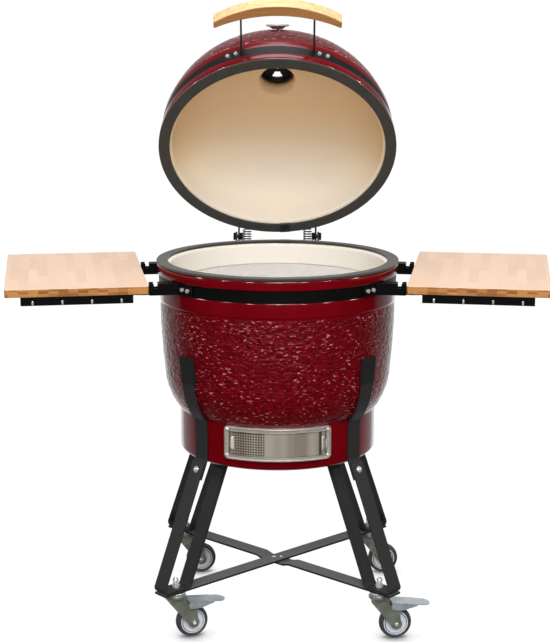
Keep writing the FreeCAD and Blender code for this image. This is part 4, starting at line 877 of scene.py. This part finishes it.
def dial_mesh():
    """A pale dial with unnumbered marks, a warm sector and a needle."""
    verts, faces, shades = [], [], []

    def patch(points, z, shade):
        start = len(verts)
        verts.extend((x * MM, y * MM, z * MM) for x, y in points)
        faces.append(tuple(range(start, start + len(points))))
        shades.append(shade)

    patch(disc(24, 64), 9.05, 0)
    for k in range(31):
        a, half = math.radians(-150 + 10 * k), 0.35 if k % 5 else 0.7
        inner = 19.5 if k % 5 else 17.5
        c, d = math.sin(a), math.cos(a)
        mark = ((inner, -half), (22, -half), (22, half), (inner, half))
        patch([(r * c + t * d, r * d - t * c) for r, t in mark], 9.12, 1)
    for k in range(12):
        a0, a1 = math.radians(20 + 5 * k), math.radians(25 + 5 * k)
        block = ((14, a0), (14, a1), (16, a1), (16, a0))
        patch([(r * math.sin(a), r * math.cos(a)) for r, a in block], 9.1, 2)
    c, d = math.sin(math.radians(-128)), math.cos(math.radians(-128))
    patch([(-5 * c - d, -5 * d + c), (18 * c, 18 * d), (-5 * c + d, -5 * d - c)], 9.25, 1)
    patch(disc(2.4, 24), 9.32, 1)
    mesh = bpy.data.meshes.new("dial")
    mesh.from_pydata(verts, [], faces)
    for name, low, high in (("dial_white", (0.78, 0.77, 0.73), (0.85, 0.84, 0.80)),
                            ("dial_black", (0.012, 0.012, 0.012), (0.02, 0.02, 0.02)),
                            ("dial_warm", (0.62, 0.07, 0.02), (0.72, 0.10, 0.03))):
        mesh.materials.append(material(name, mottled(300.0, low, high, Roughness=0.5)))
    mesh.polygons.foreach_set("material_index", shades)
    mesh.transform(SEAT)
    return mesh


link("thermometer_dial", dial_mesh(), "lid", slot="stainless")

# ---------------------------------------------------------------- bright hook tips on the tool rails
for side, sign in (("right", 1), ("left", -1)):
    for k in range(4):
        tip = turned("hook_tip", [(0.3, -3.4), (1.6, -3.3), (2.3, -2.4), (2.3, 4.6), (1.7, 5.8), (0.3, 6.2)],
                     [MATERIALS["bright_fasteners"]], sides=20)
        at = (Matrix.Translation((0.472, -0.062, 0)) @ Matrix.Rotation(-TABLE_TURN, 4, "Z")
              @ Vector(((k - 1.5) * 0.064, -0.2475, 0.8154)))
        tip.transform(Matrix.Translation((sign * at.x, at.y, at.z)))
        link("hook_tip_%s_%d" % (side, k), tip, side + "_table", slot="bright_fasteners")

# ---------------------------------------------------------------- floor, light and camera
def sweep(g, put):
    """White studio floor with soft contact shadows."""
    near = g.add("ShaderNodeAmbientOcclusion", {"Distance": 0.085}, samples=8)
    put(Base_Color=(0.05, 0.05, 0.05, 1), Roughness=1.0, Specular_IOR_Level=0.0, Emission_Color=(1, 1, 1, 1),
        Emission_Strength=g.ramp(near.outputs["AO"], (0.0, 0.02), (0.5, 0.3), (0.72, 0.82), (0.9, 0.985)))


floor_mesh = bpy.data.meshes.new("studio_floor")
floor_mesh.from_pydata([(x, y, -0.0005) for x, y in ((-30, -30), (30, -30), (30, 30), (-30, 30))],
                       [], [(0, 1, 2, 3)])
floor = bpy.data.objects.new("studio_floor", floor_mesh)
scene.collection.objects.link(floor)
floor_mesh.materials.append(material("studio_white", sweep))
floor.visible_glossy = False
floor.visible_diffuse = False

world = bpy.data.worlds.new("studio")
scene.world = world
world.use_nodes = True
w = Graph(world.node_tree)
path = w.add("ShaderNodeLightPath")
axes = w.add("ShaderNodeSeparateXYZ", {0: w.add("ShaderNodeTexCoord").outputs["Generated"]})
turn = w.math("ARCTAN2", w.math("ABSOLUTE", axes.outputs["X"]), axes.outputs["Y"])
from_back = w.math("DIVIDE", turn, math.pi)
walls = w.ramp(from_back, (0.155, 1.0), (0.19, 0.5), (0.30, 0.34), (0.38, 0.16), (0.41, 0.004))
upward = w.math("ADD", w.math("MULTIPLY", axes.outputs["Z"], 0.5), 0.5)
backdrop = w.mix(1.0, walls, w.ramp(upward, (0.49, 1.0), (0.56, 0.5), (0.85, 0.3)), "MULTIPLY")
glow = w.ramp(upward, (0.40, (0.15, 0.14, 0.13)), (0.5, (0.50, 0.50, 0.51)), (0.75, (0.95, 0.95, 0.97)),
              (1.0, (1.15, 1.15, 1.17)))
ambient = w.mix(path.outputs["Is Glossy Ray"], glow, backdrop)
seen = w.mix(path.outputs["Is Camera Ray"], ambient, (1.0, 1.0, 1.0))
background = w.add("ShaderNodeBackground", {"Color": seen, "Strength": 1.0})
w.tree.links.new(background.outputs[0], w.add("ShaderNodeOutputWorld").inputs[0])


def softbox(name, place, aim, width, height, radiance):
    lamp = bpy.data.lights.new(name, "AREA")
    lamp.shape = "RECTANGLE"
    lamp.size = width
    lamp.size_y = height
    lamp.energy = radiance * width * height * math.pi
    holder = bpy.data.objects.new(name, lamp)
    holder.location = place
    holder.rotation_euler = (Vector(aim) - Vector(place)).to_track_quat("-Z", "Y").to_euler()
    scene.collection.objects.link(holder)
    return holder


softbox("front_box", (0.2, -2.9, 3.1), (0, 0, 0.9), 1.6, 1.1, 11.5)
fill = softbox("fill_box", (0.0, -4.2, 1.0), (0, 0, 0.8), 3.0, 1.6, 2.7)
fill.visible_glossy = False
SPARK_DISTANCE = 3.2
# small lights that only reflections see, as (azimuth, elevation, strength)
SPARKS = ((-78, 24, 26), (-52, 34, 22), (-26, 27, 20), (0, 33, 18), (24, 24, 20), (50, 33, 22), (78, 25, 26))
for azimuth, elevation, strength in SPARKS:
    a, e = math.radians(azimuth), math.radians(elevation)
    place = (SPARK_DISTANCE * math.sin(a) * math.cos(e), -SPARK_DISTANCE * math.cos(a) * math.cos(e),
             0.65 + SPARK_DISTANCE * math.sin(e))
    spark = softbox("spark_%d" % azimuth, place, (0, 0, 0.7), 0.26, 0.2, 3.2 * strength)
    spark.visible_diffuse = False
softbox("top_box", (0.0, -0.2, 3.6), (0, 0, 0.8), 2.0, 1.4, 2.5)

camera = bpy.data.cameras.new("camera")
camera.lens = 86.45
camera.sensor_width = 36.0
camera.clip_start = 0.1
camera.clip_end = 60.0
viewer = bpy.data.objects.new("camera", camera)
viewer.location = (-0.006, -3.590, 1.459)
viewer.rotation_euler = (math.radians(78.23), 0, 0)
scene.collection.objects.link(viewer)
scene.camera = viewer
scene.view_settings.view_transform = "Standard"
